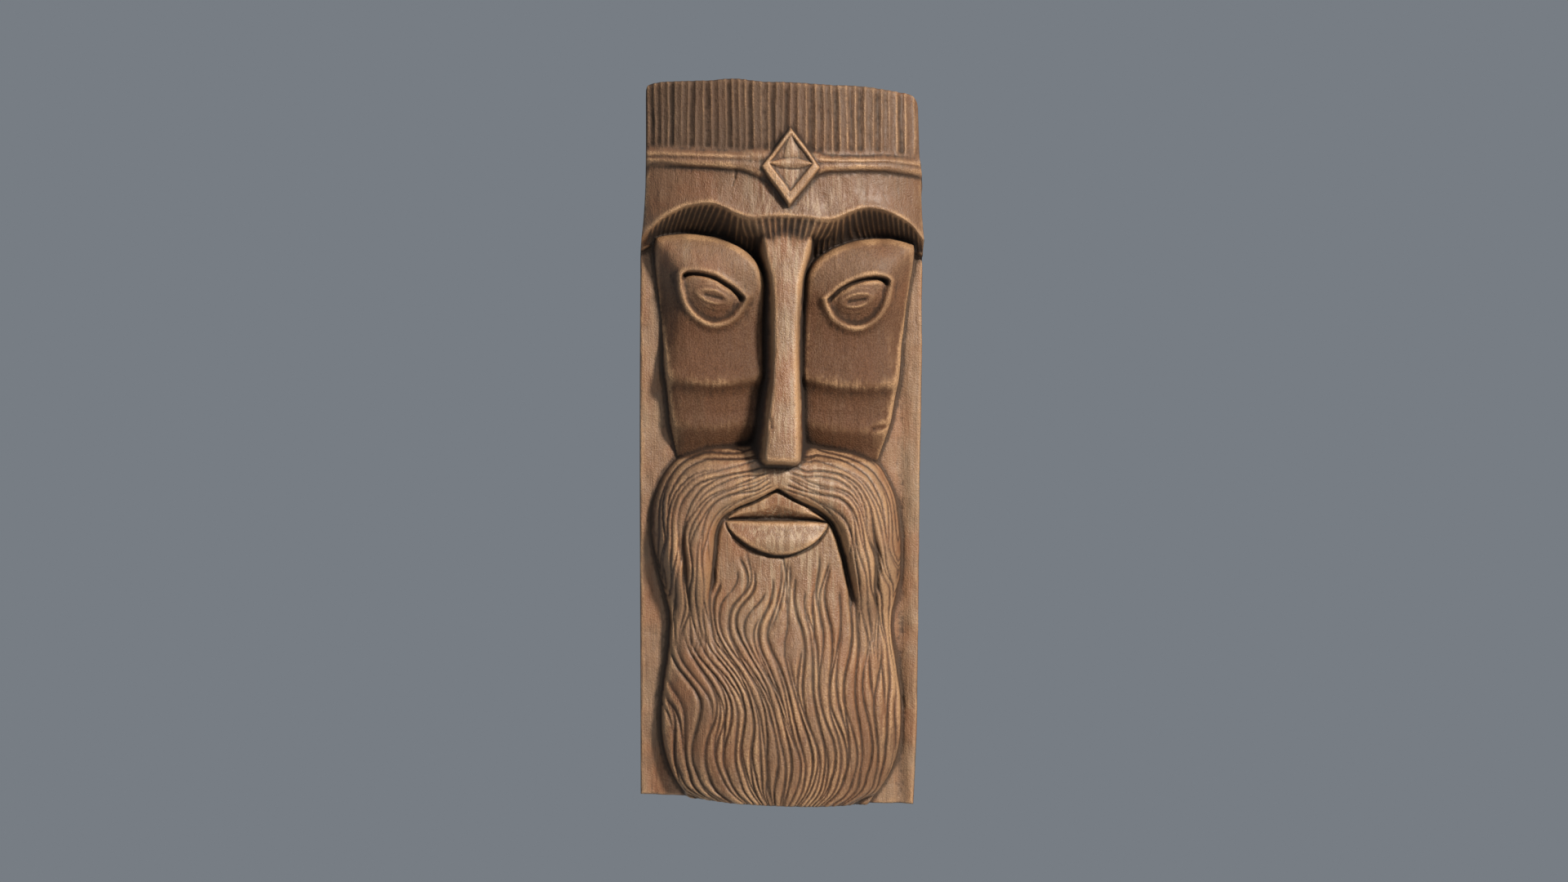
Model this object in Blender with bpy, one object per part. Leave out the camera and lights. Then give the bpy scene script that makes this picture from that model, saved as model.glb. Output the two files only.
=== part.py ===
"""Carved wooden wall mask: a tall bearded head cut in deep relief on one flat-backed board.

Metres, +Z up, the face looks along -Y and the flat back lies on the wall plane y = 0. The origin
is the middle of the back. The carving is a relief: every spot of the front has one depth, measured
out from the wall. The pattern of the carving is drawn in hundredths: places across in hundredths of
the board's width from the carving's centre line, places up in hundredths of the board's height from
the middle, and rises in hundredths of the carving's full rise above the flat margins.
"""

from math import pi, radians, tan

import bmesh
import bpy
import numpy as np

# The board
BOARD_WIDTH = 0.133
BOARD_HEIGHT = 0.338
MARGIN_DEPTH = 0.018
CARVING_RISE = 0.032
END_SLOPE = radians(2.3)
CARVING_SLOPE = radians(1.2)
LEFT_CORNER = 0.0025
RIGHT_CORNER = 0.0060
MARGIN_GROOVE = 0.0020

# Hair, head band and jewel
FLUTE_WIDTH = 0.0036
FLUTE_CUT = 0.0010
BAND_WIDTH = 0.0084
BAND_RISE = 0.0026
BAND_STEP = 0.0010
JEWEL_WIDTH = 0.0288
JEWEL_HEIGHT = 0.0376
JEWEL_RISE = 0.0052
JEWEL_FRAME = 0.0032
FIELD_LIFT = 0.0017
FIELD_SINK = 0.0015
LEAF_WIDTH = 0.0054
LEAF_RISE = 0.0013

# Brow and the fluted hollow under it
LIP_RISE = 0.0028
HOLLOW_FLUTE_WIDTH = 0.0026
HOLLOW_FLUTE_CUT = 0.0011

# Face
NOSE_CHAMFER = 0.0009
NOSE_CROWN = 0.0008
NOSE_CORNER = 0.0020
CHEEK_BEVEL = 0.0030
BEVEL_ROUND = 0.0030
CHEEK_CROWN = 0.0030
RIM_RISE = 0.0020
RIM_WIDTH = 0.0019
EYE_SINK = 0.0032
LID_SLIT = 0.0034
LID_SLIT_WIDTH = 0.0022
EYEBALL_WIDTH = 0.0316
EYEBALL_HEIGHT = 0.0250
EYEBALL_RISE = 0.0032
IRIS_RADIUS = 0.0096
IRIS_RISE = 0.0004
RING_RADIUS = 0.0062
RING_RISE = 0.0007
RING_WIDTH = 0.0013
PUPIL_LENGTH = 0.0108
PUPIL_WIDTH = 0.0016
PUPIL_CUT = 0.0008
LOWER_LIP_WIDTH = 0.0490
LOWER_LIP_HEIGHT = 0.0148

# Moustache and beard
STRAND_WIDTH = 0.0026
STRAND_CUT = 0.0014
LOCK_WIDTH = 0.0053
LOCK_CUT = 0.0017
GAP_WIDTH = 0.0026
GAP_CUT = 0.0040

# Places on the pattern
BAND_AT = 38.8
JEWEL_AT = 38.3
NOSE_FOOT = -2.5
LIP_MEETING = -11.0
IRIS = (25.6, 20.4)
UPPER_LID = [(14.1, 20.3), (19.0, 22.1), (25.5, 23.5), (32.0, 24.0), (36.0, 23.8), (37.8, 23.2)]
LOWER_LID = [(37.8, 23.2), (37.3, 21.4), (35.0, 19.0), (30.3, 17.1), (24.7, 16.5), (18.9, 17.3),
             (15.3, 19.0), (14.1, 20.3)]
CHEEK_EDGE = [(6.6, -3.0), (6.6, 9.0), (6.8, 19.0), (7.7, 23.0), (9.5, 24.8), (13.4, 26.5),
              (19.5, 28.0), (27.0, 29.0), (34.5, 29.3), (41.5, 29.1), (47.5, 28.4)]
WING_EDGE = [(0.0, -6.65), (6.0, -7.8), (12.0, -8.6), (17.5, -9.7), (20.6, -10.9), (22.6, -12.7),
             (23.7, -14.8), (24.8, -17.2), (25.6, -19.8), (26.4, -23.5), (26.0, -30.0), (24.5, -38.0),
             (23.5, -46.0), (23.0, -53.0)]
BEARD_EDGE = [(0.0, 0.6), (9.0, 0.2), (23.3, -0.4), (29.7, -1.2), (35.0, -2.4), (38.7, -4.1),
              (42.0, -6.5), (43.6, -9.0), (44.2, -13.3), (43.0, -18.0), (39.4, -24.3), (40.3, -30.0),
              (42.4, -36.0), (42.4, -41.5), (39.6, -46.0), (34.0, -49.4), (28.0, -53.0)]

# The board's uneven edges on the pattern, before its ends are sloped
LEFT_EDGE = [(-50, -50.5), (24, -50.5), (28, -50.4), (31.5, -49.5), (35, -48.9), (42, -48.5), (50, -48.5)]
RIGHT_EDGE = [(-50, 48.5), (-47, 48.9), (-40, 49.7), (-30, 50.0), (-22, 50.3), (-10, 50.6), (-2, 50.8),
              (5, 51.2), (15, 51.5), (23, 51.5), (26.5, 51.7), (30, 51.3), (33.5, 50.7), (36.5, 50.2),
              (43.5, 49.5), (50, 49.1)]
TOP_EDGE = [(-50, 49.4), (-45, 49.8), (-36, 50.0), (-27, 50.15), (-18, 50.55), (-7, 50.28), (0, 50.36),
            (17, 50.33), (30, 50.42), (40, 50.18), (50, 49.9)]
FOOT_EDGE = [(-50, -50.47), (0, -50.65), (50, -50.8)]

# How surfaces meet
FILLET = 0.0006
WALL_STEEPNESS = 5.0

# Mesh
GRID_STEP = 0.0008
TRIANGLES = 9100
GRAIN_OF_PLACES = 1e-7

PART_NAME = "carved_mask"
WOOD_COLOUR = (0.254, 0.130, 0.063, 1.0)


def ease(t):
    """Rise smoothly from nothing to one as t goes from nothing to one."""
    t = np.clip(t, 0.0, 1.0)
    return t * t * (3.0 - 2.0 * t)


def bump(t):
    """Return a round bump that is one at nothing and fades past one."""
    return np.exp(-t * t)


def through(t, *knots):
    """Follow a smooth curve through (place, value) knots given in rising order of place."""
    places = np.array([knot[0] for knot in knots], float)
    values = np.array([knot[1] for knot in knots], float)
    slopes = np.gradient(values, places)
    t = np.clip(t, places[0], places[-1])
    i = np.clip(np.searchsorted(places, t, side="right") - 1, 0, len(places) - 2)
    span = places[i + 1] - places[i]
    s = (t - places[i]) / span
    start = (1 + 2 * s) * (1 - s) ** 2 * values[i] + s * (1 - s) ** 2 * span * slopes[i]
    end = s * s * (3 - 2 * s) * values[i + 1] + s * s * (s - 1) * span * slopes[i + 1]
    return start + end


def higher(one, other):
    """Keep the higher of two surfaces, with a small fillet where they meet."""
    near = np.maximum(FILLET - np.abs(one - other), 0.0) / FILLET
    return np.maximum(one, other) + near * near * FILLET / 4


def lower(one, other):
    """Keep the lower of two surfaces, with a small round where they meet."""
    return -higher(-one, -other)


def across_metres(hundredths):
    """Turn hundredths of the board's width into metres."""
    return hundredths * BOARD_WIDTH / 100


def up_metres(hundredths):
    """Turn hundredths of the board's height into metres."""
    return hundredths * BOARD_HEIGHT / 100


def wall_down(beyond):
    """Return how far a steep carved wall has dropped at a distance beyond its edge."""
    return WALL_STEEPNESS * np.maximum(beyond, 0.0)


def smooth_path(points, count):
    """Return count places, in metres, on a curve through pattern points (across, up)."""
    p = np.array([(across_metres(across), up_metres(up)) for across, up in points])
    p = np.vstack([2 * p[0] - p[1], p, 2 * p[-1] - p[-2]])
    places = []
    for k in np.linspace(0, len(p) - 3, count):
        i = min(int(k), len(p) - 4)
        t = k - i
        a, b, c, d = p[i:i + 4]
        bend = (2 * a - 5 * b + 4 * c - d) * t**2 + (-a + 3 * b - 3 * c + d) * t**3
        places.append(0.5 * (2 * b + (c - a) * t + bend))
    return np.array(places)


def along_path(x, z, path):
    """Return the distance to a path, minus on its right side, and the share of its length."""
    steps = np.diff(path, axis=0)
    lengths = np.hypot(steps[:, 0], steps[:, 1])
    starts = np.concatenate([[0.0], np.cumsum(lengths)])
    best = np.full(x.shape, np.inf)
    side = np.zeros(x.shape)
    share = np.zeros(x.shape)
    for place, step, length, start in zip(path, steps, lengths, starts):
        rx = x - place[0]
        rz = z - place[1]
        t = np.clip((rx * step[0] + rz * step[1]) / length**2, 0.0, 1.0)
        distance = np.hypot(rx - t * step[0], rz - t * step[1])
        near = distance < best
        best = np.where(near, distance, best)
        side = np.where(near, np.sign(step[0] * rz - step[1] * rx), side)
        share = np.where(near, (start + t * length) / starts[-1], share)
    return best * side, share


def rise(hundredths):
    """Turn a rise on the pattern into a depth out from the wall."""
    return MARGIN_DEPTH + CARVING_RISE * hundredths / 100


def centre_line(up):
    """Return how far the leaning centre line of the carving stands off the board's middle."""
    return across_metres(through(
        up, (-50, -0.2), (-30, 0.3), (-18, -0.6), (-11, -1.9), (-5, -1.6), (0, -0.7),
        (9, 0.3), (18, 0.9), (30, 1.4), (40, 2.3)))


def cut_pattern(phase, up, first, last, forks, seed):
    """Return cuts between locks: one in the bottom of a cut and nothing on a lock's crest.

    A cut runs along each whole number of phase and grows deeper and shallower on its way. Forks
    leave one cut, run down across a lock and join the next cut.
    """
    line = np.round(phase)
    sway = 0.72 + 0.28 * np.sin(line * 2.4 + up * (0.16 + 0.05 * np.sin(line * 1.7)) + seed)
    cuts = sway * (1.0 - 2.0 * np.abs(phase - line)) ** 2
    random = np.random.default_rng(seed)
    for start in range(first, last):
        for fork in range(forks):
            top = random.uniform(-16, 6) - 50 / forks * fork
            length = random.uniform(9, 17)
            way = random.choice([-1, 1])
            t = (top - up) / length
            off = np.abs(phase - start - way * ease(t)) / 0.36
            strength = np.sin(pi * np.clip(t, 0.0, 1.0)) ** 0.5
            cuts = np.maximum(cuts, 0.9 * strength * np.maximum(1.0 - off, 0.0) ** 2)
    return cuts


def lip_line(side):
    """Return the height of the brow's edge at a place across."""
    return through(
        side, (0, 31.7), (7, 31.6), (14, 31.4), (18, 31.8), (22.5, 32.6), (28, 33.2), (32, 33.1),
        (36.5, 32.7), (41, 31.9), (45, 30.9), (48.5, 29.6), (52, 28.4))


def hollow_line(side):
    """Return the height of the foot of the hollow under the brow."""
    return through(
        side, (0, 27.0), (6, 27.0), (8, 26.8), (10.5, 26.1), (14, 26.0), (20, 27.4), (28, 28.6),
        (36, 28.9), (43, 28.4), (48, 27.6), (53, 26.6))


def head_surface(x, side, up):
    """Return the round front of the head, from the hair down to the brow's rolled edge."""
    across = np.clip(x / BOARD_WIDTH * 2 / 1.03, -0.995, 0.995)
    depth = rise(20 + 63 * np.sqrt(1 - across**2) - 8 * ease((up - 40) / 11))
    above = np.maximum(up - lip_line(side), 0.0)
    return depth + LIP_RISE * np.exp(-above / 2.1)


def band_middle(x):
    """Return the height of the band's middle, which dips a little towards the jewel."""
    across = x / BOARD_WIDTH * 100
    lift = through(across, (-50, 0.7), (-32, 0.55), (-15, 0.25), (0, 0), (17, 0.15), (35, 0.55), (50, 0.4))
    return BAND_AT + lift


def hair_flutes(x, up):
    """Return the upright hollow flutes of the hair."""
    across = x / BOARD_WIDTH * 2
    wander = 0.10 * np.sin(7 * across + 1.0) + 0.09 * np.sin(17 * across)
    wander = wander + 0.07 * np.sin(9 * across + up * 0.2)
    phase = x * (1 - 0.09 * across) / FLUTE_WIDTH + wander
    index = np.floor(phase)
    strength = 0.8 + 0.35 * np.sin(index * 2.3 + 0.7) + 0.15 * np.sin(index * 5.1)
    hollow = 1.0 - (2.0 * (phase - index) - 1.0) ** 2
    return FLUTE_CUT * strength * hollow**0.8 * ease((up - band_middle(x) - 1.3) / 0.9)


def brow_hollow(a, side, up, head):
    """Cut the fluted hollow that runs back under the brow."""
    top = lip_line(side)
    foot = hollow_line(side)
    t = np.clip((top - up) / (top - foot), 0.0, 1.0)
    spread = 1.0 + 0.85 * np.clip((up - 28.6) / 3.0, 0.0, 1.0)
    block = side / spread
    floor = rise(through(block, (0, 62), (7.2, 62), (9.6, 34), (13, 16), (22, 12), (53, 12)))
    lean = 0.4 * np.sign(a) * up_metres(up - top) * ease((side - 16) / 12)
    fanned = np.where(side < 16, a / spread**0.35, a + lean)
    fan = fanned / HOLLOW_FLUTE_WIDTH
    hollow = (1.0 - (2.0 * (fan - np.floor(fan)) - 1.0) ** 2) * ease(t / 0.15) * ease((51 - side) / 4)
    hollow = hollow * np.where(side < 16, ease((0.78 - t) / 0.25), 1.0)
    cut = head + (floor - head) * (1 - (1 - t) ** 1.5) - HOLLOW_FLUTE_CUT * hollow
    cut = np.where(up < top, cut, head)
    return cut - wall_down(up_metres(foot - up))


def head_band(x, b, depth):
    """Lay the two-ridged band of the circlet on the head."""
    across = x / BOARD_WIDTH * 100
    flare = through(across, (-50, 1.15), (-15, 1.1), (15, 0.92), (35, 0.95), (50, 1.1))
    off = (b - up_metres(band_middle(x))) / (BAND_WIDTH * flare) * 2
    under = 0.45 + 0.5 * ease((-30 - across) / 20)
    body = ease((1.15 - off) / 0.8) * ease((off + 1.05) / under)
    ridges = 0.12 * bump((off - 0.3) / 0.22) - 0.12 * bump((off - 0.05) / 0.14)
    ridges = ridges + 0.16 * bump((off + 0.25) / 0.2)
    return depth + BAND_RISE * (body + ridges)


def jewel(a, b, plain, depth):
    """Set the four-cornered jewel with its crossed leaves on the band."""
    across = np.abs(a)
    tall = b - up_metres(JEWEL_AT)
    q = across / JEWEL_WIDTH * 2 + np.abs(tall) / JEWEL_HEIGHT * 2
    half_width = JEWEL_WIDTH / 2 - JEWEL_FRAME * np.hypot(1, JEWEL_WIDTH / JEWEL_HEIGHT)
    half_height = JEWEL_HEIGHT / 2 - JEWEL_FRAME * np.hypot(1, JEWEL_HEIGHT / JEWEL_WIDTH)
    tall = tall - FIELD_LIFT
    field = across / half_width + np.abs(tall) / half_height
    shape = plain + JEWEL_RISE * ease((1.02 - q) / 0.11) ** 0.8
    shape = shape - FIELD_SINK * ease((1.03 - field) / 0.09)
    long_leaf = 1 - 2 * np.abs(tall) / LEAF_WIDTH / np.maximum(1 - (across / half_width) ** 2, 0.01)
    tall_leaf = 1 - 1.5 * across / LEAF_WIDTH / np.maximum(1 - (tall / half_height) ** 2, 0.01)
    upright = np.where(tall > 0, 0.6, 0.3) * np.clip(tall_leaf, 0, 1)
    leaves = np.maximum(np.clip(long_leaf, 0, 1), upright)
    shape = shape + LEAF_RISE * leaves**0.5 * (field < 1)
    return np.where(q < 1.02, higher(depth, shape), depth)


def cheek(a, side, b, up):
    """Return the cheek and brow pad beside the nose: bevelled round its edge, with two folds."""
    fold = up - 0.7 * ((side - 27) / 16) ** 2
    front = rise(through(
        fold, (-3, 14), (-0.5, 22), (0.8, 31), (1.9, 38), (4.5, 38), (7.2, 44), (8.2, 53),
        (10.5, 49), (14, 42), (18, 44), (21.5, 54), (25, 57), (27.2, 50), (29.4, 34)))
    outer = through(
        up, (-3, 35.6), (0, 37.6), (4, 39.6), (8, 41), (13.5, 42.6), (19.5, 44.4), (25, 46), (29, 46.2))
    bevel = through(
        up, (-3, 34.2), (0, 36), (4, 37.6), (8, 39.4), (14.5, 38), (19.5, 37.2), (23.5, 37.6),
        (26.5, 42), (28.7, 47))
    depth = front - CHEEK_CROWN * ((side - 25) / 18) ** 2
    past = across_metres(side - bevel)
    depth = depth - 0.95 * (past + np.hypot(past, BEVEL_ROUND)) / 2 - wall_down(across_metres(side - outer))
    inside, _ = along_path(np.abs(a), b, smooth_path(CHEEK_EDGE, 40))
    inside = -inside
    rounding = np.maximum(CHEEK_BEVEL - inside, 0.0) ** 2 / CHEEK_BEVEL * 0.75
    return depth - rounding - wall_down(-inside) - wall_down(up_metres(-2.2 - up))


def eye(a, b, depth):
    """Sink the eye into the cheek: a raised rim, a slit under the lid and a ball with an iris."""
    place = np.abs(a)
    above, _ = along_path(place, b, smooth_path(UPPER_LID, 24))
    below, _ = along_path(place, b, smooth_path(LOWER_LID, 32))
    inside = (above < 0) & (below < 0)
    lid = np.abs(above)
    rim = np.abs(below)
    raised = RIM_RISE * (bump(rim / RIM_WIDTH) + 0.35 * bump(lid / RIM_WIDTH))
    across = place - across_metres(IRIS[0])
    tall = b - up_metres(IRIS[1]) - 0.22 * across
    ball = 1 - (2 * across / EYEBALL_WIDTH) ** 2 - (2 * tall / EYEBALL_HEIGHT) ** 2
    bed = depth - EYE_SINK + EYEBALL_RISE * np.sqrt(np.maximum(ball, 0.0))
    bed = bed - LID_SLIT * bump(2 * lid / LID_SLIT_WIDTH - 1.2)
    iris = np.hypot(across, 1.5 * tall)
    ring = np.hypot(across, 2.3 * tall)
    bed = bed + IRIS_RISE * ease((IRIS_RADIUS - iris) / RING_WIDTH)
    bed = bed + RING_RISE * bump((ring - RING_RADIUS) / RING_WIDTH)
    ends = ease((PUPIL_LENGTH / 2 - np.abs(across)) / PUPIL_WIDTH)
    bed = bed - PUPIL_CUT * bump(2 * tall / PUPIL_WIDTH) * ends
    sunk = depth + (bed - depth) * ease(np.minimum(lid / 0.6, rim / 1.4) / RIM_WIDTH)
    return np.where(inside, sunk, depth) + raised


def nose(side, up):
    """Return the long flat-fronted nose, chamfered along its edges."""
    half = through(
        up, (-3, 5.9), (-1.9, 5.85), (1.5, 5.4), (5.4, 4.8), (9, 4.35), (12.8, 4.1), (17, 4.2),
        (20.3, 4.6), (24, 5.7), (26.5, 7.4), (28.6, 8.5))
    crest = rise(through(up, (-3, 100), (3, 95), (13, 83), (25, 69.5), (27, 67), (29, 62.5)))
    over = across_metres(side - half)
    under = up_metres(NOSE_FOOT - up)
    corner = np.hypot(np.maximum(over + NOSE_CORNER, 0.0), np.maximum(under + NOSE_CORNER, 0.0)) - NOSE_CORNER
    beyond = np.where(corner > -NOSE_CORNER, corner, np.maximum(over, under))
    front = crest - NOSE_CROWN * (side / half) ** 2
    wall = crest - NOSE_CHAMFER - WALL_STEEPNESS * beyond
    return lower(lower(front, front - NOSE_CHAMFER - beyond), wall)


def beard_half(up):
    """Return the half width of the moustache and beard at a height."""
    return through(
        up, (-52, 24), (-50.6, 28), (-49.4, 34), (-46, 39.6), (-41.4, 42.6), (-35.5, 42.2),
        (-30, 40.3), (-24.3, 39.4), (-18, 43), (-13.3, 44.2), (-9, 43.6), (-6.5, 42), (-4.1, 38.7),
        (-2.4, 35), (-1.2, 29.7), (-0.4, 23.3), (0.2, 9))


def beard_locks(side, left, up):
    """Return the cuts between the long wavy locks of the beard."""
    u = left * side / beard_half(up)
    sway = (0.10 * np.sin(up * 0.20 + 1.2 + 2.2 * u) + 0.055 * np.sin(up * 0.33 + 3.0 * np.sin(2.6 * u) + 0.5)
            + 0.03 * np.sin(up * 0.15 + 6.0 * u + 2.0))
    sway = sway - 0.40 * ease((-20 - up) / 26) * (1 - ease((u + 0.55) / 1.1))
    freed = ease((-14 - up) / 15)
    bent = u + sway * freed * (1 - 0.55 * u * u)
    locks = across_metres(42) / LOCK_WIDTH
    phase = locks * (bent + 0.10 * bent**3)
    reach = int(locks * 1.1) + 1
    return cut_pattern(phase, up + 14, -reach, reach, 2, 11)


def beard(a, side, left, b, up):
    """Return the moustache, the chin and the beard with their strands and locks."""
    half = beard_half(up)
    share = np.clip(side / half, 0.0, 1.0)
    crown = through(
        up, (-52, 58), (-50, 66), (-47, 70), (-40, 71), (-32, 67), (-25, 58), (-18, 50), (-13, 47),
        (-7, 52), (-3, 48), (0, 36))
    chin_body = rise(24 + (crown - 24) * (1 - share**2.4) ** 0.8)
    locks = beard_locks(side, left, up)

    drift = np.where(left < 0, 6.5 * bump((up + 38) / 9), -2.5 * bump((up + 35) / 8))
    inner, way = along_path(np.abs(a) + across_metres(drift), b, smooth_path(WING_EDGE, 48))
    outer, _ = along_path(np.abs(a), b, smooth_path(BEARD_EDGE, 48))
    parting = np.maximum(1.0 - np.abs(inner) / STRAND_WIDTH, 0.0) ** 2
    free = ease((-17.0 - up + 2.6 * np.sin(left * side * 0.45 + 1.0)) / 3.0)
    chin = chin_body - LOCK_CUT * np.maximum(locks * free, parting * ease((-20 - up) / 5))

    v = inner / np.maximum(inner + np.abs(outer), 1e-6)
    one = through(v, (0, 56), (0.08, 63), (0.3, 68), (0.5, 63), (0.75, 47), (0.92, 33), (1, 24))
    two = through(
        v, (0, 57), (0.08, 65), (0.26, 70), (0.42, 64), (0.53, 50), (0.62, 57), (0.75, 56), (0.9, 42),
        (1, 24))
    parted = ease((way - 0.17) / 0.10) * ease((0.62 - way) / 0.2)
    swell = rise(one + (two - one) * parted)
    most = across_metres(19) / STRAND_WIDTH
    strands = most * (1.0 - 0.42 * ease((way - 0.22) / 0.25))
    sway = 0.035 * np.sin(way * 17 + left + 3 * v) + 0.02 * np.sin(way * 40 + 2 * left + 8 * v)
    fine = cut_pattern(strands * (v + sway * ease(v / 0.15)), -90 * way, 0, int(most), 4, 23)
    fine = np.maximum(fine * ease(way / 0.03 + 0.15), parting)
    ended = ease((-17 - up) / 8)
    wing = swell + ended * np.minimum(chin_body - swell, 0.0) - STRAND_CUT * fine
    wing = np.where(ended < 1, wing, chin_body - STRAND_CUT * fine)
    gap = bump(2 * inner / GAP_WIDTH + 1.15) * ease((way - 0.07) / 0.08) * ease((0.45 - way) / 0.15)
    chin = chin - GAP_CUT * gap * np.where(left > 0, 1.0, 0.35)
    depth = np.where(inner > 0, wing, higher(chin, wing - wall_down(-inner)))
    return depth - wall_down(outer)


def mouth(side, up, depth):
    """Cut the hollow of the mouth under the moustache and set both lips in it."""
    half = LOWER_LIP_WIDTH / across_metres(2)
    hang = LOWER_LIP_HEIGHT / up_metres(1)
    bottom = LIP_MEETING - hang * np.maximum(1 - (side / half) ** 2, 0.0) ** 0.75
    lower_lip = rise(53 + 10 * bump((up - LIP_MEETING + 2.0) / 1.7) - 11 * (side / half) ** 2)
    lower_lip = lower_lip - wall_down(up_metres(up - LIP_MEETING)) - wall_down(up_metres(bottom - up))
    lower_lip = lower_lip - wall_down(across_metres(side - half))
    crest = through(side, (0, -6.5), (8, -8.3), (16, -9.9), (18.6, -11.0))
    t = np.clip((crest - up) / np.maximum(crest - LIP_MEETING, 0.1), 0.0, 1.0)
    upper_lip = rise(46 + 10 * np.sin(pi * t**0.6) - 22 * t**2 - 8 * (side / half) ** 2)
    opening = (up < crest + 0.3) & (up > LIP_MEETING) & (side < half)
    depth = np.where(opening, np.minimum(depth, upper_lip), depth)
    return higher(depth, lower_lip)


def relief(x, z):
    """Return the depth of the carved front at each place of the board.

    Args:
        x: Places across the board, an array in metres.
        z: Heights above the board's middle, an array in metres.

    Returns:
        The depth out from the wall, an array in metres.
    """
    b = z + x * tan(CARVING_SLOPE)
    up = b / BOARD_HEIGHT * 100
    a = x - centre_line(up)
    side = np.abs(a) / BOARD_WIDTH * 100
    left = np.where(a < 0, -1.0, 1.0)

    groove = bump((x / BOARD_WIDTH * 100 - 42.5) / 2.4) * (0.45 + 0.55 * ease((8 - up) / 24))
    depth = MARGIN_DEPTH - MARGIN_GROOVE * groove

    plain = head_surface(x, side, up)
    head = brow_hollow(a, side, up, plain)
    head = head_band(x, b, head - hair_flutes(x, up))
    head = jewel(a, b, plain, head)
    depth = higher(depth, head)
    depth = higher(depth, eye(a, b, cheek(a, side, b, up)))
    depth = higher(depth, beard(a, side, left, b, up))
    depth = mouth(side, up, depth)
    return higher(depth, nose(side, up))


def board_outline(across, up):
    """Place grid vertices on the board.

    Args:
        across: Places across, an array from nothing at the left edge to one at the right edge.
        up: Places up, an array from nothing at the lower end to one at the upper end.

    Returns:
        The places across and up, two arrays in metres.
    """
    height = up * 100 - 50
    left = across_metres(through(height, *LEFT_EDGE))
    right = across_metres(through(height, *RIGHT_EDGE)) + BAND_STEP * bump((height - 0.4 - BAND_AT) / 1.3)
    x = left + (right - left) * across
    place = x / BOARD_WIDTH * 100
    top = up_metres(through(place, *TOP_EDGE))
    foot = up_metres(through(place, *FOOT_EDGE))
    for radius, inset in ((LEFT_CORNER, x - left), (RIGHT_CORNER, right - x)):
        short = np.clip(radius - inset, 0.0, radius)
        top = top - (radius - np.sqrt(radius**2 - short**2))
    return x, foot + (top - foot) * up - x * tan(END_SLOPE)


def clear_scene():
    """Remove every object of the start-up scene."""
    for old in list(bpy.data.objects):
        bpy.data.objects.remove(old, do_unlink=True)


def make_collection(name):
    """Add a collection to the scene."""
    collection = bpy.data.collections.new(name)
    bpy.context.scene.collection.children.link(collection)
    return collection


def wood_material():
    """Make the stained wood."""
    material = bpy.data.materials.new("stained_wood")
    material.use_nodes = True
    shader = material.node_tree.nodes["Principled BSDF"]
    shader.inputs["Base Color"].default_value = WOOD_COLOUR
    shader.inputs["Roughness"].default_value = 0.5
    shader.inputs["Metallic"].default_value = 0.0
    return material


def carved_front():
    """Make the open carved front as a grid and thin it out where it is plain."""
    columns = round(BOARD_WIDTH / GRID_STEP)
    rows = round(BOARD_HEIGHT / GRID_STEP)
    mesh = bpy.data.meshes.new("front")
    bm = bmesh.new()
    bmesh.ops.create_grid(bm, x_segments=columns, y_segments=rows, size=0.5)
    x, z = board_outline(
        np.array([vertex.co.x + 0.5 for vertex in bm.verts]),
        np.array([vertex.co.y + 0.5 for vertex in bm.verts]))
    places = np.round(np.column_stack([x, -relief(x, z), z]) / GRAIN_OF_PLACES) * GRAIN_OF_PLACES
    for vertex, place in zip(bm.verts, places):
        vertex.co = place
    bm.to_mesh(mesh)
    bm.free()

    front = bpy.data.objects.new("front", mesh)
    bpy.context.scene.collection.objects.link(front)
    thin = front.modifiers.new("thin_out", "DECIMATE")
    thin.ratio = TRIANGLES / (2 * columns * rows)
    thin.use_collapse_triangulate = True
    evaluated = front.evaluated_get(bpy.context.evaluated_depsgraph_get())
    thinned = bpy.data.meshes.new_from_object(evaluated)
    bpy.data.objects.remove(front)
    return thinned


def close_board(mesh):
    """Carry the rim of the front back to the wall plane and close the flat back."""
    bm = bmesh.new()
    bm.from_mesh(mesh)
    rim = [edge for edge in bm.edges if edge.is_boundary]
    extruded = bmesh.ops.extrude_edge_only(bm, edges=rim)["geom"]
    for item in extruded:
        if isinstance(item, bmesh.types.BMVert):
            item.co.y = 0.0
    back = [edge for edge in bm.edges if edge.is_boundary]
    bmesh.ops.contextual_create(bm, geom=back)
    bmesh.ops.recalc_face_normals(bm, faces=bm.faces)
    bm.to_mesh(mesh)
    bm.free()


def main():
    """Build the mask."""
    clear_scene()
    collection = make_collection("carved_wall_mask")
    mesh = carved_front()
    close_board(mesh)
    mesh.name = PART_NAME
    mesh.materials.append(wood_material())
    collection.objects.link(bpy.data.objects.new(PART_NAME, mesh))


if __name__ == "__main__":
    main()
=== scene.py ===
"""Looks of a tall carved wooden wall mask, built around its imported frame.

One plank carries the whole carving, so the object is one piece. Its front is a relief: every spot
has one depth, measured out from the wall plane y = 0, and the face looks along -Y. Each part of the
carving is a class that raises or cuts that depth the way the carver did, from the board's pattern.
The pattern is drawn in hundredths: places across in hundredths of the board's width from the leaning
centre line, places up in hundredths of its height from the middle, and rises in hundredths of the
carving's full rise over the flat margins. All other sizes are metres.
"""

import logging
import math
from dataclasses import dataclass
from enum import Enum

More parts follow.
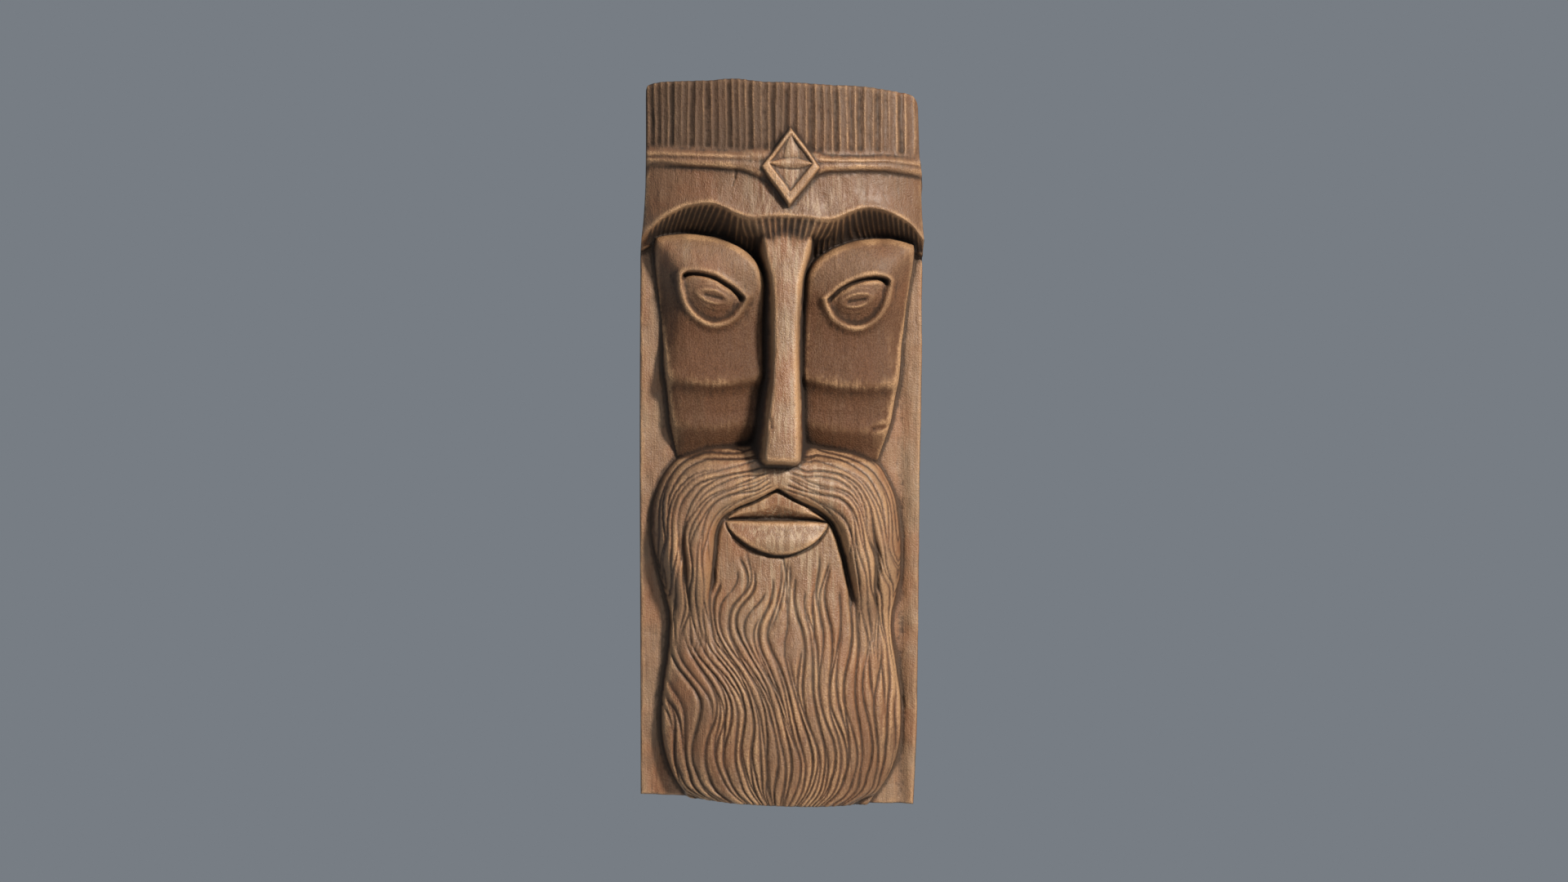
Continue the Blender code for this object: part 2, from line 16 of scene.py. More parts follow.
import bpy
import numpy as np
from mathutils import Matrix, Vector


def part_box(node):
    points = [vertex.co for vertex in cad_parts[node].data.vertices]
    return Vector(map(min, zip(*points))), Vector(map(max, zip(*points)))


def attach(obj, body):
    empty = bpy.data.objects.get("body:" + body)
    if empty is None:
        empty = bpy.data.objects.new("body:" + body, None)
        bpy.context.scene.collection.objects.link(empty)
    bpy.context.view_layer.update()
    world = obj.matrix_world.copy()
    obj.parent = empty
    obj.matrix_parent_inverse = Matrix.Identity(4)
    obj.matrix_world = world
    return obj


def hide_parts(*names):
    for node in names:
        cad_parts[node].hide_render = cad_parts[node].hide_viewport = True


LOG = logging.getLogger("carved_wall_mask")
NODE = "carved_mask"
MM = 0.001

Field = np.ndarray
Knot = tuple[float, float]
SMOOTH = {"interpolation_type": "SMOOTHSTEP"}

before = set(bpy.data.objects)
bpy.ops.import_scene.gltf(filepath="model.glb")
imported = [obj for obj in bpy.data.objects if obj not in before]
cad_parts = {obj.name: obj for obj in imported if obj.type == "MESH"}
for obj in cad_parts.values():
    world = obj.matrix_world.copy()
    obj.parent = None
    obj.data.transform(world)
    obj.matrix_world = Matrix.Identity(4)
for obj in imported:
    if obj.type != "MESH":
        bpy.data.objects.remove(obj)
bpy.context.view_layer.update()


class Flank(Enum):
    """The two halves of the carving, as the sign of a place across."""

    LEFT = -1.0
    RIGHT = 1.0


def ease(t: Field) -> Field:
    """Rise smoothly from nothing to one as t goes from nothing to one."""
    t = np.clip(t, 0.0, 1.0)
    return t * t * (3.0 - 2.0 * t)


def bump(t: Field) -> Field:
    """Return a round bump that is one at nothing and fades past one."""
    return np.exp(-t * t)


def through(t: Field, *knots: Knot) -> Field:
    """Follow a smooth curve through knots.

    Args:
        t: The places asked for.
        knots: Pairs of place and value, in rising order of place.

    Returns:
        The value at each place.
    """
    places = np.array([knot[0] for knot in knots], float)
    values = np.array([knot[1] for knot in knots], float)
    slopes = np.gradient(values, places)
    t = np.clip(t, places[0], places[-1])
    i = np.clip(np.searchsorted(places, t, side="right") - 1, 0, len(places) - 2)
    span = places[i + 1] - places[i]
    s = (t - places[i]) / span
    start = (1 + 2 * s) * (1 - s) ** 2 * values[i] + s * (1 - s) ** 2 * span * slopes[i]
    end = s * s * (3 - 2 * s) * values[i + 1] + s * s * (s - 1) * span * slopes[i + 1]
    return start + end


def higher(one: Field, other: Field, blend: float = 0.6 * MM) -> Field:
    """Keep the higher of two surfaces, with a small fillet where they meet."""
    near = np.maximum(blend - np.abs(one - other), 0.0) / blend
    return np.maximum(one, other) + near * near * blend / 4


def lower(one: Field, other: Field, blend: float = 0.6 * MM) -> Field:
    """Keep the lower of two surfaces, with a small round where they meet."""
    return -higher(-one, -other, blend)


def hollow(phase: Field) -> Field:
    """Return the scoop of a gouge: nothing on the ridges, at whole numbers, and one between."""
    return 1.0 - (2.0 * (phase - np.floor(phase)) - 1.0) ** 2


def wall_down(beyond: Field) -> Field:
    """Return how far a steep carved wall has dropped at a distance beyond its edge."""
    return 5.0 * np.maximum(beyond, 0.0)


def between(corners: tuple[Field, Field, Field, Field], s: Field, t: Field) -> Field:
    """Read a value between the four corners of a square.

    Args:
        corners: The values at the corners: lower left, lower right, upper left and upper right.
        s: The share of the way across.
        t: The share of the way up.

    Returns:
        The value at each place.
    """
    low = corners[0] * (1 - s) + corners[1] * s
    high = corners[2] * (1 - s) + corners[3] * s
    return low * (1 - t) + high * t


@dataclass(frozen=True)
class Unevenness:
    """Smooth chance unevenness, from -1 to 1, of a surface worked by hand.

    Its bumps measure `across` by `along` metres.
    """

    across: float
    along: float
    seed: int

    def at(self, x: Field, z: Field) -> Field:
        """Return the unevenness at places.

        Args:
            x: Places across, in metres.
            z: Heights, in metres.

        Returns:
            The unevenness at each place.
        """
        size = 256
        table = np.random.default_rng(self.seed).uniform(-1.0, 1.0, (size, size))
        u, v = x / self.across + size / 2, z / self.along + size / 2
        i, j = np.floor(u).astype(int), np.floor(v).astype(int)
        corners = tuple(table[(i + right) % size, (j + above) % size] for above in (0, 1) for right in (0, 1))
        return between(corners, ease(u - i), ease(v - j))


@dataclass(frozen=True)
class Plank:
    """The sawn board, as the frame gives it."""

    width: float
    height: float
    deepest: float
    margin: float = 18.0 * MM
    carving_rise: float = 32.0 * MM
    end_slope: float = math.radians(2.3)
    carving_slope: float = math.radians(1.2)
    left_corner: float = 2.5 * MM
    right_corner: float = 6.0 * MM
    band_at: float = 39.2
    band_step: float = 1.0 * MM
    left: tuple[Knot, ...] = (
        (-50, -50.5), (24, -50.5), (28, -50.4), (31.5, -49.5), (35, -48.9), (42, -48.5), (50, -48.5))
    right: tuple[Knot, ...] = (
        (-50, 48.5), (-47, 48.9), (-40, 49.7), (-30, 50.0), (-22, 50.3), (-10, 50.6), (-2, 50.8),
        (5, 51.2), (15, 51.5), (23, 51.5), (26.5, 51.7), (30, 51.3), (33.5, 50.7), (36.5, 50.2),
        (43.5, 49.5), (50, 49.1))
    top: tuple[Knot, ...] = (
        (-50, 49.4), (-45, 49.8), (-36, 50.0), (-27, 50.15), (-18, 50.55), (-7, 50.28), (0, 50.36),
        (17, 50.33), (30, 50.42), (40, 50.18), (50, 49.9))
    foot: tuple[Knot, ...] = ((-50, -50.47), (0, -50.65), (50, -50.8))
    play: float = 0.1 * MM

    @classmethod
    def from_frame(cls) -> "Plank":
        """Take the board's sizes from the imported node, a hair inside its box.

        Returns:
            The board.
        """
        low = Vector(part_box(NODE)[0])
        widest = through(np.linspace(-50, 50, 401), *cls.left).min()
        width = (low.x + cls.play) * 100 / widest
        corner = cls.right[0][1] / 100 * width * math.tan(cls.end_slope)
        height = (low.z + cls.play + corner) * 100 / cls.foot[-1][1]
        return cls(width=width, height=height, deepest=-low.y - cls.play)

    def across(self, hundredths: Field) -> Field:
        """Turn hundredths of the width into metres."""
        return hundredths * self.width / 100

    def up(self, hundredths: Field) -> Field:
        """Turn hundredths of the height into metres."""
        return hundredths * self.height / 100

    def rise(self, hundredths: Field) -> Field:
        """Turn a rise on the pattern into a depth out from the wall."""
        return self.margin + self.carving_rise * hundredths / 100

    def centre_line(self, up: Field) -> Field:
        """Return how far the leaning centre line of the carving stands off the middle."""
        return self.across(through(
            up, (-50, -0.2), (-30, 0.3), (-18, -0.6), (-11, -1.9), (-5, -1.6), (0, -0.7),
            (9, 0.3), (18, 0.9), (30, 1.4), (40, 2.3)))

    def sides(self, up: Field) -> tuple[Field, Field]:
        """Return the left and right edges at a share of the height, from 0 at the foot to 1.

        Args:
            up: The share of the height.

        Returns:
            The places across of both edges, in metres.
        """
        height = up * 100 - 50
        left, right = (self.across(through(height, *edge)) for edge in (self.left, self.right))
        return left, right + self.band_step * bump((height - self.band_at) / 1.3)

    def ends(self, x: Field) -> tuple[Field, Field]:
        """Return the lower and upper edges at places across, before the ends are sloped."""
        place = x / self.width * 100
        return self.up(through(place, *self.foot)), self.up(through(place, *self.top))

    def outline(self, across: Field, up: Field) -> tuple[Field, Field]:
        """Place spots of the front on the board.

        Args:
            across: Shares of the width, from 0 at the left edge to 1 at the right edge.
            up: Shares of the height, from 0 at the lower end to 1 at the upper end.

        Returns:
            The places (x, z) in metres.
        """
        left, right = self.sides(up)
        x = left + (right - left) * across
        foot, top = self.ends(x)
        for radius, inset in ((self.left_corner, x - left), (self.right_corner, right - x)):
            short = np.clip(radius - inset, 0.0, radius)
            top = top - (radius - np.sqrt(radius**2 - short**2))
        return x, foot + (top - foot) * up - x * math.tan(self.end_slope)

    def path(self, points: list[Knot], count: int) -> Field:
        """Run a smooth curve through points of the pattern.

        Args:
            points: Places (across, up) on the pattern.
            count: How many places the curve gets.

        Returns:
            The curve's places in metres, one row each.
        """
        p = np.array([(self.across(across), self.up(up)) for across, up in points])
        p = np.vstack([2 * p[0] - p[1], p, 2 * p[-1] - p[-2]])
        places = []
        for k in np.linspace(0, len(p) - 3, count):
            i = min(int(k), len(p) - 4)
            t = k - i
            a, b, c, d = p[i:i + 4]
            bend = (2 * a - 5 * b + 4 * c - d) * t**2 + (-a + 3 * b - 3 * c + d) * t**3
            places.append(0.5 * (2 * b + (c - a) * t + bend))
        return np.array(places)


def along_path(x: Field, z: Field, path: Field) -> tuple[Field, Field]:
    """Measure places against a path.

    Args:
        x: Places across, in metres.
        z: Heights, in metres.
        path: The path's own places, one row each.

    Returns:
        The distance to the path, minus on its right side, and the share of its length.
    """
    steps = np.diff(path, axis=0)
    lengths = np.hypot(steps[:, 0], steps[:, 1])
    starts = np.concatenate([[0.0], np.cumsum(lengths)])
    best = np.full(x.shape, np.inf)
    side = np.zeros(x.shape)
    share = np.zeros(x.shape)
    for place, step, length, start in zip(path, steps, lengths, starts):
        rx = x - place[0]
        rz = z - place[1]
        t = np.clip((rx * step[0] + rz * step[1]) / length**2, 0.0, 1.0)
        distance = np.hypot(rx - t * step[0], rz - t * step[1])
        near = distance < best
        best = np.where(near, distance, best)
        side = np.where(near, np.sign(step[0] * rz - step[1] * rx), side)
        share = np.where(near, (start + t * length) / starts[-1], share)
    return best * side, share


@dataclass(frozen=True)
class Places:
    """Spots of the front, as the carver's pattern sees them.

    In metres, `a` is the way across from the leaning centre line and `b` the way up the pattern. In
    hundredths, `up` is b and `side` is how far a place stands off the centre line on either flank.
    """

    plank: Plank
    x: Field
    z: Field
    b: Field
    up: Field
    a: Field
    side: Field
    flank: Field

    @classmethod
    def on(cls, plank: Plank, x: Field, z: Field) -> "Places":
        """Lay the leaning pattern over places of the board.

        Args:
            plank: The board.
            x: Places across, in metres.
            z: Heights, in metres.

        Returns:
            The same places on the pattern.
        """
        b = z + x * math.tan(plank.carving_slope)
        up = b / plank.height * 100
        a = x - plank.centre_line(up)
        flank = np.where(a < 0, Flank.LEFT.value, Flank.RIGHT.value)
        return cls(plank, x, z, b, up, a, np.abs(a) / plank.width * 100, flank)


@dataclass(frozen=True)
class Cuts:
    """V cuts between locks of hair.

    A cut runs along each whole number of phase and grows deeper and shallower on its way. Forks
    leave one cut, run down across a lock and join the next cut.
    """

    forks: int
    seed: int
    width: float = 0.36
    wander: float = 0.18
    fade: float = 0.20

    def at(self, phase: Field, up: Field, first: int, last: int) -> Field:
        """Return the cuts at places.

        Args:
            phase: Which lock a place lies on, rising by one from each cut to the next.
            up: How far up the lock it lies, in hundredths of the board's height.
            first: The first cut that sends out forks.
            last: The cut after the last one that does.

        Returns:
            One in the bottom of a cut and nothing on a lock's crest.
        """
        line = np.round(phase)
        turn = 2.4 * line + self.seed
        deep = 1.0 - self.fade + self.fade * np.sin(turn + up * (0.16 + 0.05 * np.sin(1.7 * line)))
        aside = np.abs(phase - line + self.wander * np.sin(turn + 0.33 * up))
        cuts = deep * np.maximum(1.0 - aside / 0.40, 0.0) ** 2
        random = np.random.default_rng(self.seed)
        for start in range(first, last):
            for fork in range(self.forks):
                top = random.uniform(-16, 6) - 50 / self.forks * fork
                length = random.uniform(9, 17)
                way = random.choice([-1, 1])
                t = (top - up) / length
                off = np.abs(phase - start - way * ease(t)) / self.width
                strength = np.sin(math.pi * np.clip(t, 0.0, 1.0)) ** 0.5
                cuts = np.maximum(cuts, 0.9 * strength * np.maximum(1.0 - off, 0.0) ** 2)
        return cuts


@dataclass(frozen=True)
class Head:
    """The round head: fluted hair above, a plain forehead below, down to the brow's rolled edge."""

    flute_width: float = 3.6 * MM
    flute_cut: float = 1.1 * MM
    lip_rise: float = 2.8 * MM
    lip: tuple[Knot, ...] = (
        (0, 31.7), (7, 31.6), (14, 31.4), (18, 31.8), (22.5, 32.6), (28, 33.2), (32, 33.1),
        (36.5, 32.7), (41, 31.9), (45, 30.9), (48.5, 29.6), (52, 28.4))

    def lip_line(self, at: Places) -> Field:
        """Return the height of the brow's edge, in hundredths."""
        return through(at.side, *self.lip)

    def surface(self, at: Places) -> Field:
        """Return the depth of the plain head.

        Args:
            at: The places.

        Returns:
            The depth out from the wall.
        """
        across = np.clip(at.x / at.plank.width * 2 / 1.03, -0.995, 0.995)
        depth = at.plank.rise(20 + 63 * np.sqrt(1 - across**2) - 8 * ease((at.up - 40) / 11))
        above = np.maximum(at.up - self.lip_line(at), 0.0)
        return depth + self.lip_rise * np.exp(-above / 2.1)

    def flutes(self, at: Places, foot: Field) -> Field:
        """Return how deep the upright flutes of the hair are cut.

        Args:
            at: The places.
            foot: The height of the band's middle, in hundredths.

        Returns:
            The depth of the cut, in metres.
        """
        across = at.x / at.plank.width * 2
        wander = (0.10 * np.sin(7 * across + 1.0) + 0.09 * np.sin(17 * across)
                  + 0.07 * np.sin(9 * across + at.up * 0.2))
        phase = at.x * (1 - 0.09 * across) / self.flute_width + wander
        index = np.floor(phase)
        strength = 0.8 + 0.35 * np.sin(index * 2.3 + 0.7) + 0.15 * np.sin(index * 5.1)
        return self.flute_cut * strength * hollow(phase) ** 0.8 * ease((at.up - foot - 1.3) / 0.9)


@dataclass(frozen=True)
class BrowHollow:
    """The deep fluted hollow that runs back under the brow to the cheeks and the nose."""

    flute_width: float = 2.6 * MM
    flute_cut: float = 1.1 * MM

    def cut(self, at: Places, head: Head, depth: Field) -> Field:
        """Cut the hollow into the head.

        Args:
            at: The places.
            head: The head, whose brow edge the hollow starts at.
            depth: The depth of the head.

        Returns:
            The depth of the head with its hollow.
        """
        top = head.lip_line(at)
        foot = through(
            at.side, (0, 27.0), (6, 27.0), (8, 26.8), (10.5, 26.1), (14, 26.0), (20, 27.4), (28, 28.6),
            (36, 28.9), (43, 28.4), (48, 27.6), (53, 26.6))
        t = np.clip((top - at.up) / (top - foot), 0.0, 1.0)
        spread = 1.0 + 0.85 * np.clip((at.up - 28.6) / 3.0, 0.0, 1.0) - 0.35 * ease((29.4 - at.up) / 2.2)
        floor = at.plank.rise(through(
            at.side / spread, (0, 55), (7.2, 55), (9.6, 34), (13, 16), (22, 12), (53, 12)))
        lean = 0.4 * np.sign(at.a) * at.plank.up(at.up - top) * ease((at.side - 16) / 12)
        fanned = np.where(at.side < 16, at.a / np.maximum(spread, 1.0) ** 0.35, at.a + lean)
        flutes = hollow(fanned / self.flute_width) * ease(t / 0.15) * ease((51 - at.side) / 4)
        cut = depth + (floor - depth) * (1 - (1 - t) ** 1.5) - self.flute_cut * flutes
        cut = np.where(at.up < top, cut, depth)
        return cut - wall_down(at.plank.up(foot - at.up))


@dataclass(frozen=True)
class Circlet:
    """The two-ridged band round the head, with a four-cornered jewel of crossed leaves."""

    middle: tuple[Knot, ...] = (
        (-50, 39.5), (-32, 39.35), (-15, 39.05), (0, 38.8), (17, 38.95), (35, 39.35), (50, 39.2))
    flare: tuple[Knot, ...] = (
        (-50, 1.15), (-22, 1.1), (-14, 1.25), (-9, 1.75), (0, 1.9), (9, 1.7), (14, 1.1),
        (22, 0.92), (35, 0.95), (50, 1.1))
    width: float = 8.4 * MM
    band_rise: float = 2.6 * MM
    jewel_middle: float = 38.3
    jewel_width: float = 28.8 * MM
    jewel_height: float = 37.6 * MM
    jewel_rise: float = 5.2 * MM
    jewel_frame: float = 3.2 * MM
    field_lift: float = 1.7 * MM
    field_sink: float = 1.5 * MM
    leaf_width: float = 5.4 * MM
    leaf_rise: float = 1.5 * MM
    leaf_groove: float = 0.5 * MM

    def line(self, at: Places) -> Field:
        """Return the height of the band's middle, which dips a little towards the jewel."""
        return through(at.x / at.plank.width * 100, *self.middle)

    def lay(self, at: Places, plain: Field, depth: Field) -> Field:
        """Raise the band and the jewel.

        Args:
            at: The places.
            plain: The depth of the head without flutes.
            depth: The depth so far.

        Returns:
            The depth with the circlet.
        """
        across = at.x / at.plank.width * 100
        off = (at.b - at.plank.up(self.line(at))) / (self.width * through(across, *self.flare)) * 2
        under = 0.45 + 0.5 * ease((-30 - across) / 20)
        body = ease((1.15 - off) / 0.8) * ease((off + 1.05) / under)
        ridges = (0.10 * bump((off - 0.3) / 0.24) - 0.12 * bump((off - 0.05) / 0.16)
                  + 0.12 * bump((off + 0.3) / 0.26))
        return self.jewel(at, plain, depth + self.band_rise * (body + ridges))

    def reach(self, at: Places) -> Field:
        """Return how far out a place lies in the jewel, one at its rim."""
        tall = np.abs(at.b - at.plank.up(self.jewel_middle))
        return np.abs(at.a) / self.jewel_width * 2 + tall / self.jewel_height * 2

    def jewel(self, at: Places, plain: Field, depth: Field) -> Field:
        """Raise the jewel's frame, sink its field and raise the crossed leaves in it.

        Args:
            at: The places.
            plain: The depth of the head without flutes.
            depth: The depth so far.

        Returns:
            The depth with the jewel.
        """
        q = self.reach(at)
        across = np.abs(at.a)
        tall = at.b - at.plank.up(self.jewel_middle) - self.field_lift
        lean = self.jewel_width / self.jewel_height
        half_width = self.jewel_width / 2 - self.jewel_frame * math.hypot(1, lean)
        half_height = self.jewel_height / 2 - self.jewel_frame * math.hypot(1, 1 / lean)
        inner = across / half_width + np.abs(tall) / half_height
        shape = plain + self.jewel_rise * ease((1.02 - q) / 0.11) ** 0.8
        shape = shape - self.field_sink * ease((1.03 - inner) / 0.09)
        long_leaf = 1 - 2 * np.abs(tall) / self.leaf_width / np.maximum(1 - (across / half_width) ** 2, 0.01)
        tall_leaf = 1 - 1.5 * across / self.leaf_width / np.maximum(1 - (tall / half_height) ** 2, 0.01)
        upright = np.where(tall > 0, 0.5, 0.15) * np.clip(tall_leaf, 0, 1)
        leaves = self.leaf_rise * np.maximum(np.clip(long_leaf, 0, 1), upright) ** 0.5
        shape = shape + (leaves - self.leaf_groove * bump(long_leaf / 0.12)) * (inner < 0.97)
        return np.where(q < 1.02, higher(depth, shape), depth)


@dataclass(frozen=True)
class Cheeks:
    """The two pads that carry the eyes, bevelled round their edges, with two folds below."""

    bevel: float = 3.0 * MM
    bevel_round: float = 3.0 * MM
    crown: float = 3.0 * MM
    edge: tuple[Knot, ...] = (
        (6.6, -3.0), (6.6, 9.0), (6.8, 19.0), (7.7, 23.0), (9.5, 24.8), (13.4, 26.5),
        (19.5, 28.0), (27.0, 29.0), (34.5, 29.3), (41.5, 29.1), (47.5, 28.4))

    def surface(self, at: Places) -> Field:
        """Return the depth of the cheeks, far below the rest outside their edges.

        Args:
            at: The places.

        Returns:
            The depth out from the wall.
        """
        up, side, plank = at.up, at.side, at.plank
        fold = up - 0.7 * ((side - 27) / 16) ** 2
        front = plank.rise(through(
            fold, (-3, 14), (-0.5, 22), (0.8, 31), (1.9, 38), (4.5, 38), (7.2, 44), (8.2, 53),
            (10.5, 49), (14, 42), (18, 44), (21.5, 54), (25, 57), (27.2, 50), (29.4, 34)))
        outer = through(
            up, (-3, 35.6), (0, 37.6), (4, 39.6), (8, 41), (13.5, 42.6), (19.5, 44.4), (25, 46), (29, 46.2))
        bevel = through(
            up, (-3, 34.2), (0, 36), (4, 37.6), (8, 39.4), (14.5, 38), (19.5, 37.2), (23.5, 37.6),
            (26.5, 42), (28.7, 47))
        depth = front - self.crown * ((side - 25) / 18) ** 2
        past = plank.across(side - bevel)
        depth = depth - 0.95 * (past + np.hypot(past, self.bevel_round)) / 2
        depth = depth - wall_down(plank.across(side - outer))
        inside, _ = along_path(np.abs(at.a), at.b, plank.path(list(self.edge), 40))
        rounding = np.maximum(self.bevel + inside, 0.0) ** 2 / self.bevel * 0.75
        return depth - rounding - wall_down(inside) - wall_down(plank.up(-2.2 - up))


@dataclass(frozen=True)
class Eyes:
    """The slanted eyes: a raised rim, an overhanging lid and a ball with a ringed iris."""

    rim_rise: float = 2.0 * MM
    rim_width: float = 2.1 * MM
    lid_share: float = 0.5
    sink: float = 3.2 * MM
    slit: float = 3.4 * MM
    slit_off: float = 1.3 * MM
    slit_width: float = 1.1 * MM
    ball_width: float = 31.6 * MM
    ball_height: float = 25.0 * MM
    ball_rise: float = 3.2 * MM
    iris_radius: float = 9.6 * MM
    iris_rise: float = 0.35 * MM
    ring_radius: float = 6.8 * MM
    ring_rise: float = 0.6 * MM
    ring_width: float = 1.6 * MM
    pupil_length: float = 5.4 * MM
    pupil_width: float = 0.8 * MM
    pupil_end: float = 2 * MM
    pupil_cut: float = 0.8 * MM
    iris: Knot = (25.6, 20.4)
    upper_lid: tuple[Knot, ...] = (
        (14.1, 20.3), (19.0, 22.1), (25.5, 23.5), (32.0, 24.0), (36.0, 23.8), (37.8, 23.2))
    lower_lid: tuple[Knot, ...] = (
        (37.8, 23.2), (37.3, 21.4), (35.0, 19.0), (30.3, 17.1), (24.7, 16.5), (18.9, 17.3),
        (15.3, 19.0), (14.1, 20.3))

    def sink_in(self, at: Places, depth: Field) -> Field:
        """Sink the eyes into the cheeks.

        Args:
            at: The places.
            depth: The depth of the cheeks.

        Returns:
            The depth of the cheeks with their eyes.
        """
        place = np.abs(at.a)
        above, _ = along_path(place, at.b, at.plank.path(list(self.upper_lid), 24))
        below, _ = along_path(place, at.b, at.plank.path(list(self.lower_lid), 32))
        inside = (above < 0) & (below < 0)
        lid = np.abs(above)
        rim = np.abs(below)
        raised = self.rim_rise * (bump(rim / self.rim_width) + self.lid_share * bump(lid / self.rim_width))
        across = place - at.plank.across(self.iris[0])
        tall = at.b - at.plank.up(self.iris[1]) - 0.22 * across
        ball = 1 - (2 * across / self.ball_width) ** 2 - (2 * tall / self.ball_height) ** 2
        bed = depth - self.sink + self.ball_rise * np.sqrt(np.maximum(ball, 0.0))
        bed = bed - self.slit * bump((lid - self.slit_off) / self.slit_width)
        iris = np.hypot(across, 1.5 * tall)
        ring = np.hypot(across, 2.3 * tall)
        bed = bed + self.iris_rise * ease((self.iris_radius - iris) / MM)
        bed = bed + self.ring_rise * bump((ring - self.ring_radius) / self.ring_width)
        pupil = bump(tall / self.pupil_width) * ease((self.pupil_length - np.abs(across)) / self.pupil_end)
        bed = bed - self.pupil_cut * pupil
        sunk = depth + (bed - depth) * ease(np.minimum(lid / 0.6, rim / 1.4) / self.rim_width)
        return np.where(inside, sunk, depth) + raised


@dataclass(frozen=True)
class Nose:
    """The long flat-fronted nose, chamfered along its edges."""

    chamfer: float = 0.9 * MM
    crown: float = 0.8 * MM
    corner: float = 2.0 * MM
    foot: float = -2.5

    def surface(self, at: Places) -> Field:
        """Return the depth of the nose, far below the rest outside its edges.

        Args:
            at: The places.

        Returns:
            The depth out from the wall.
        """
        half = through(
            at.up, (-3, 5.9), (-1.9, 5.85), (1.5, 5.4), (5.4, 4.8), (9, 4.35), (12.8, 4.1), (17, 4.2),
            (20.3, 4.6), (24, 5.7), (26.5, 7.4), (28.6, 8.5))
        crest = at.plank.rise(through(at.up, (-3, 100), (3, 95), (13, 83), (25, 69), (27, 66.5), (29, 64.5)))
        over = np.maximum(at.plank.across(at.side - half) + self.corner, 0.0)
        under = np.maximum(at.plank.up(self.foot - at.up) + self.corner, 0.0)
        beyond = np.hypot(over, under) - self.corner
        inside = np.maximum(at.plank.across(at.side - half), at.plank.up(self.foot - at.up))
        beyond = np.where(beyond > -self.corner, beyond, inside)
        front = crest - self.crown * (at.side / half) ** 2
        return lower(lower(front, front - self.chamfer - beyond), crest - self.chamfer - 5.0 * beyond)


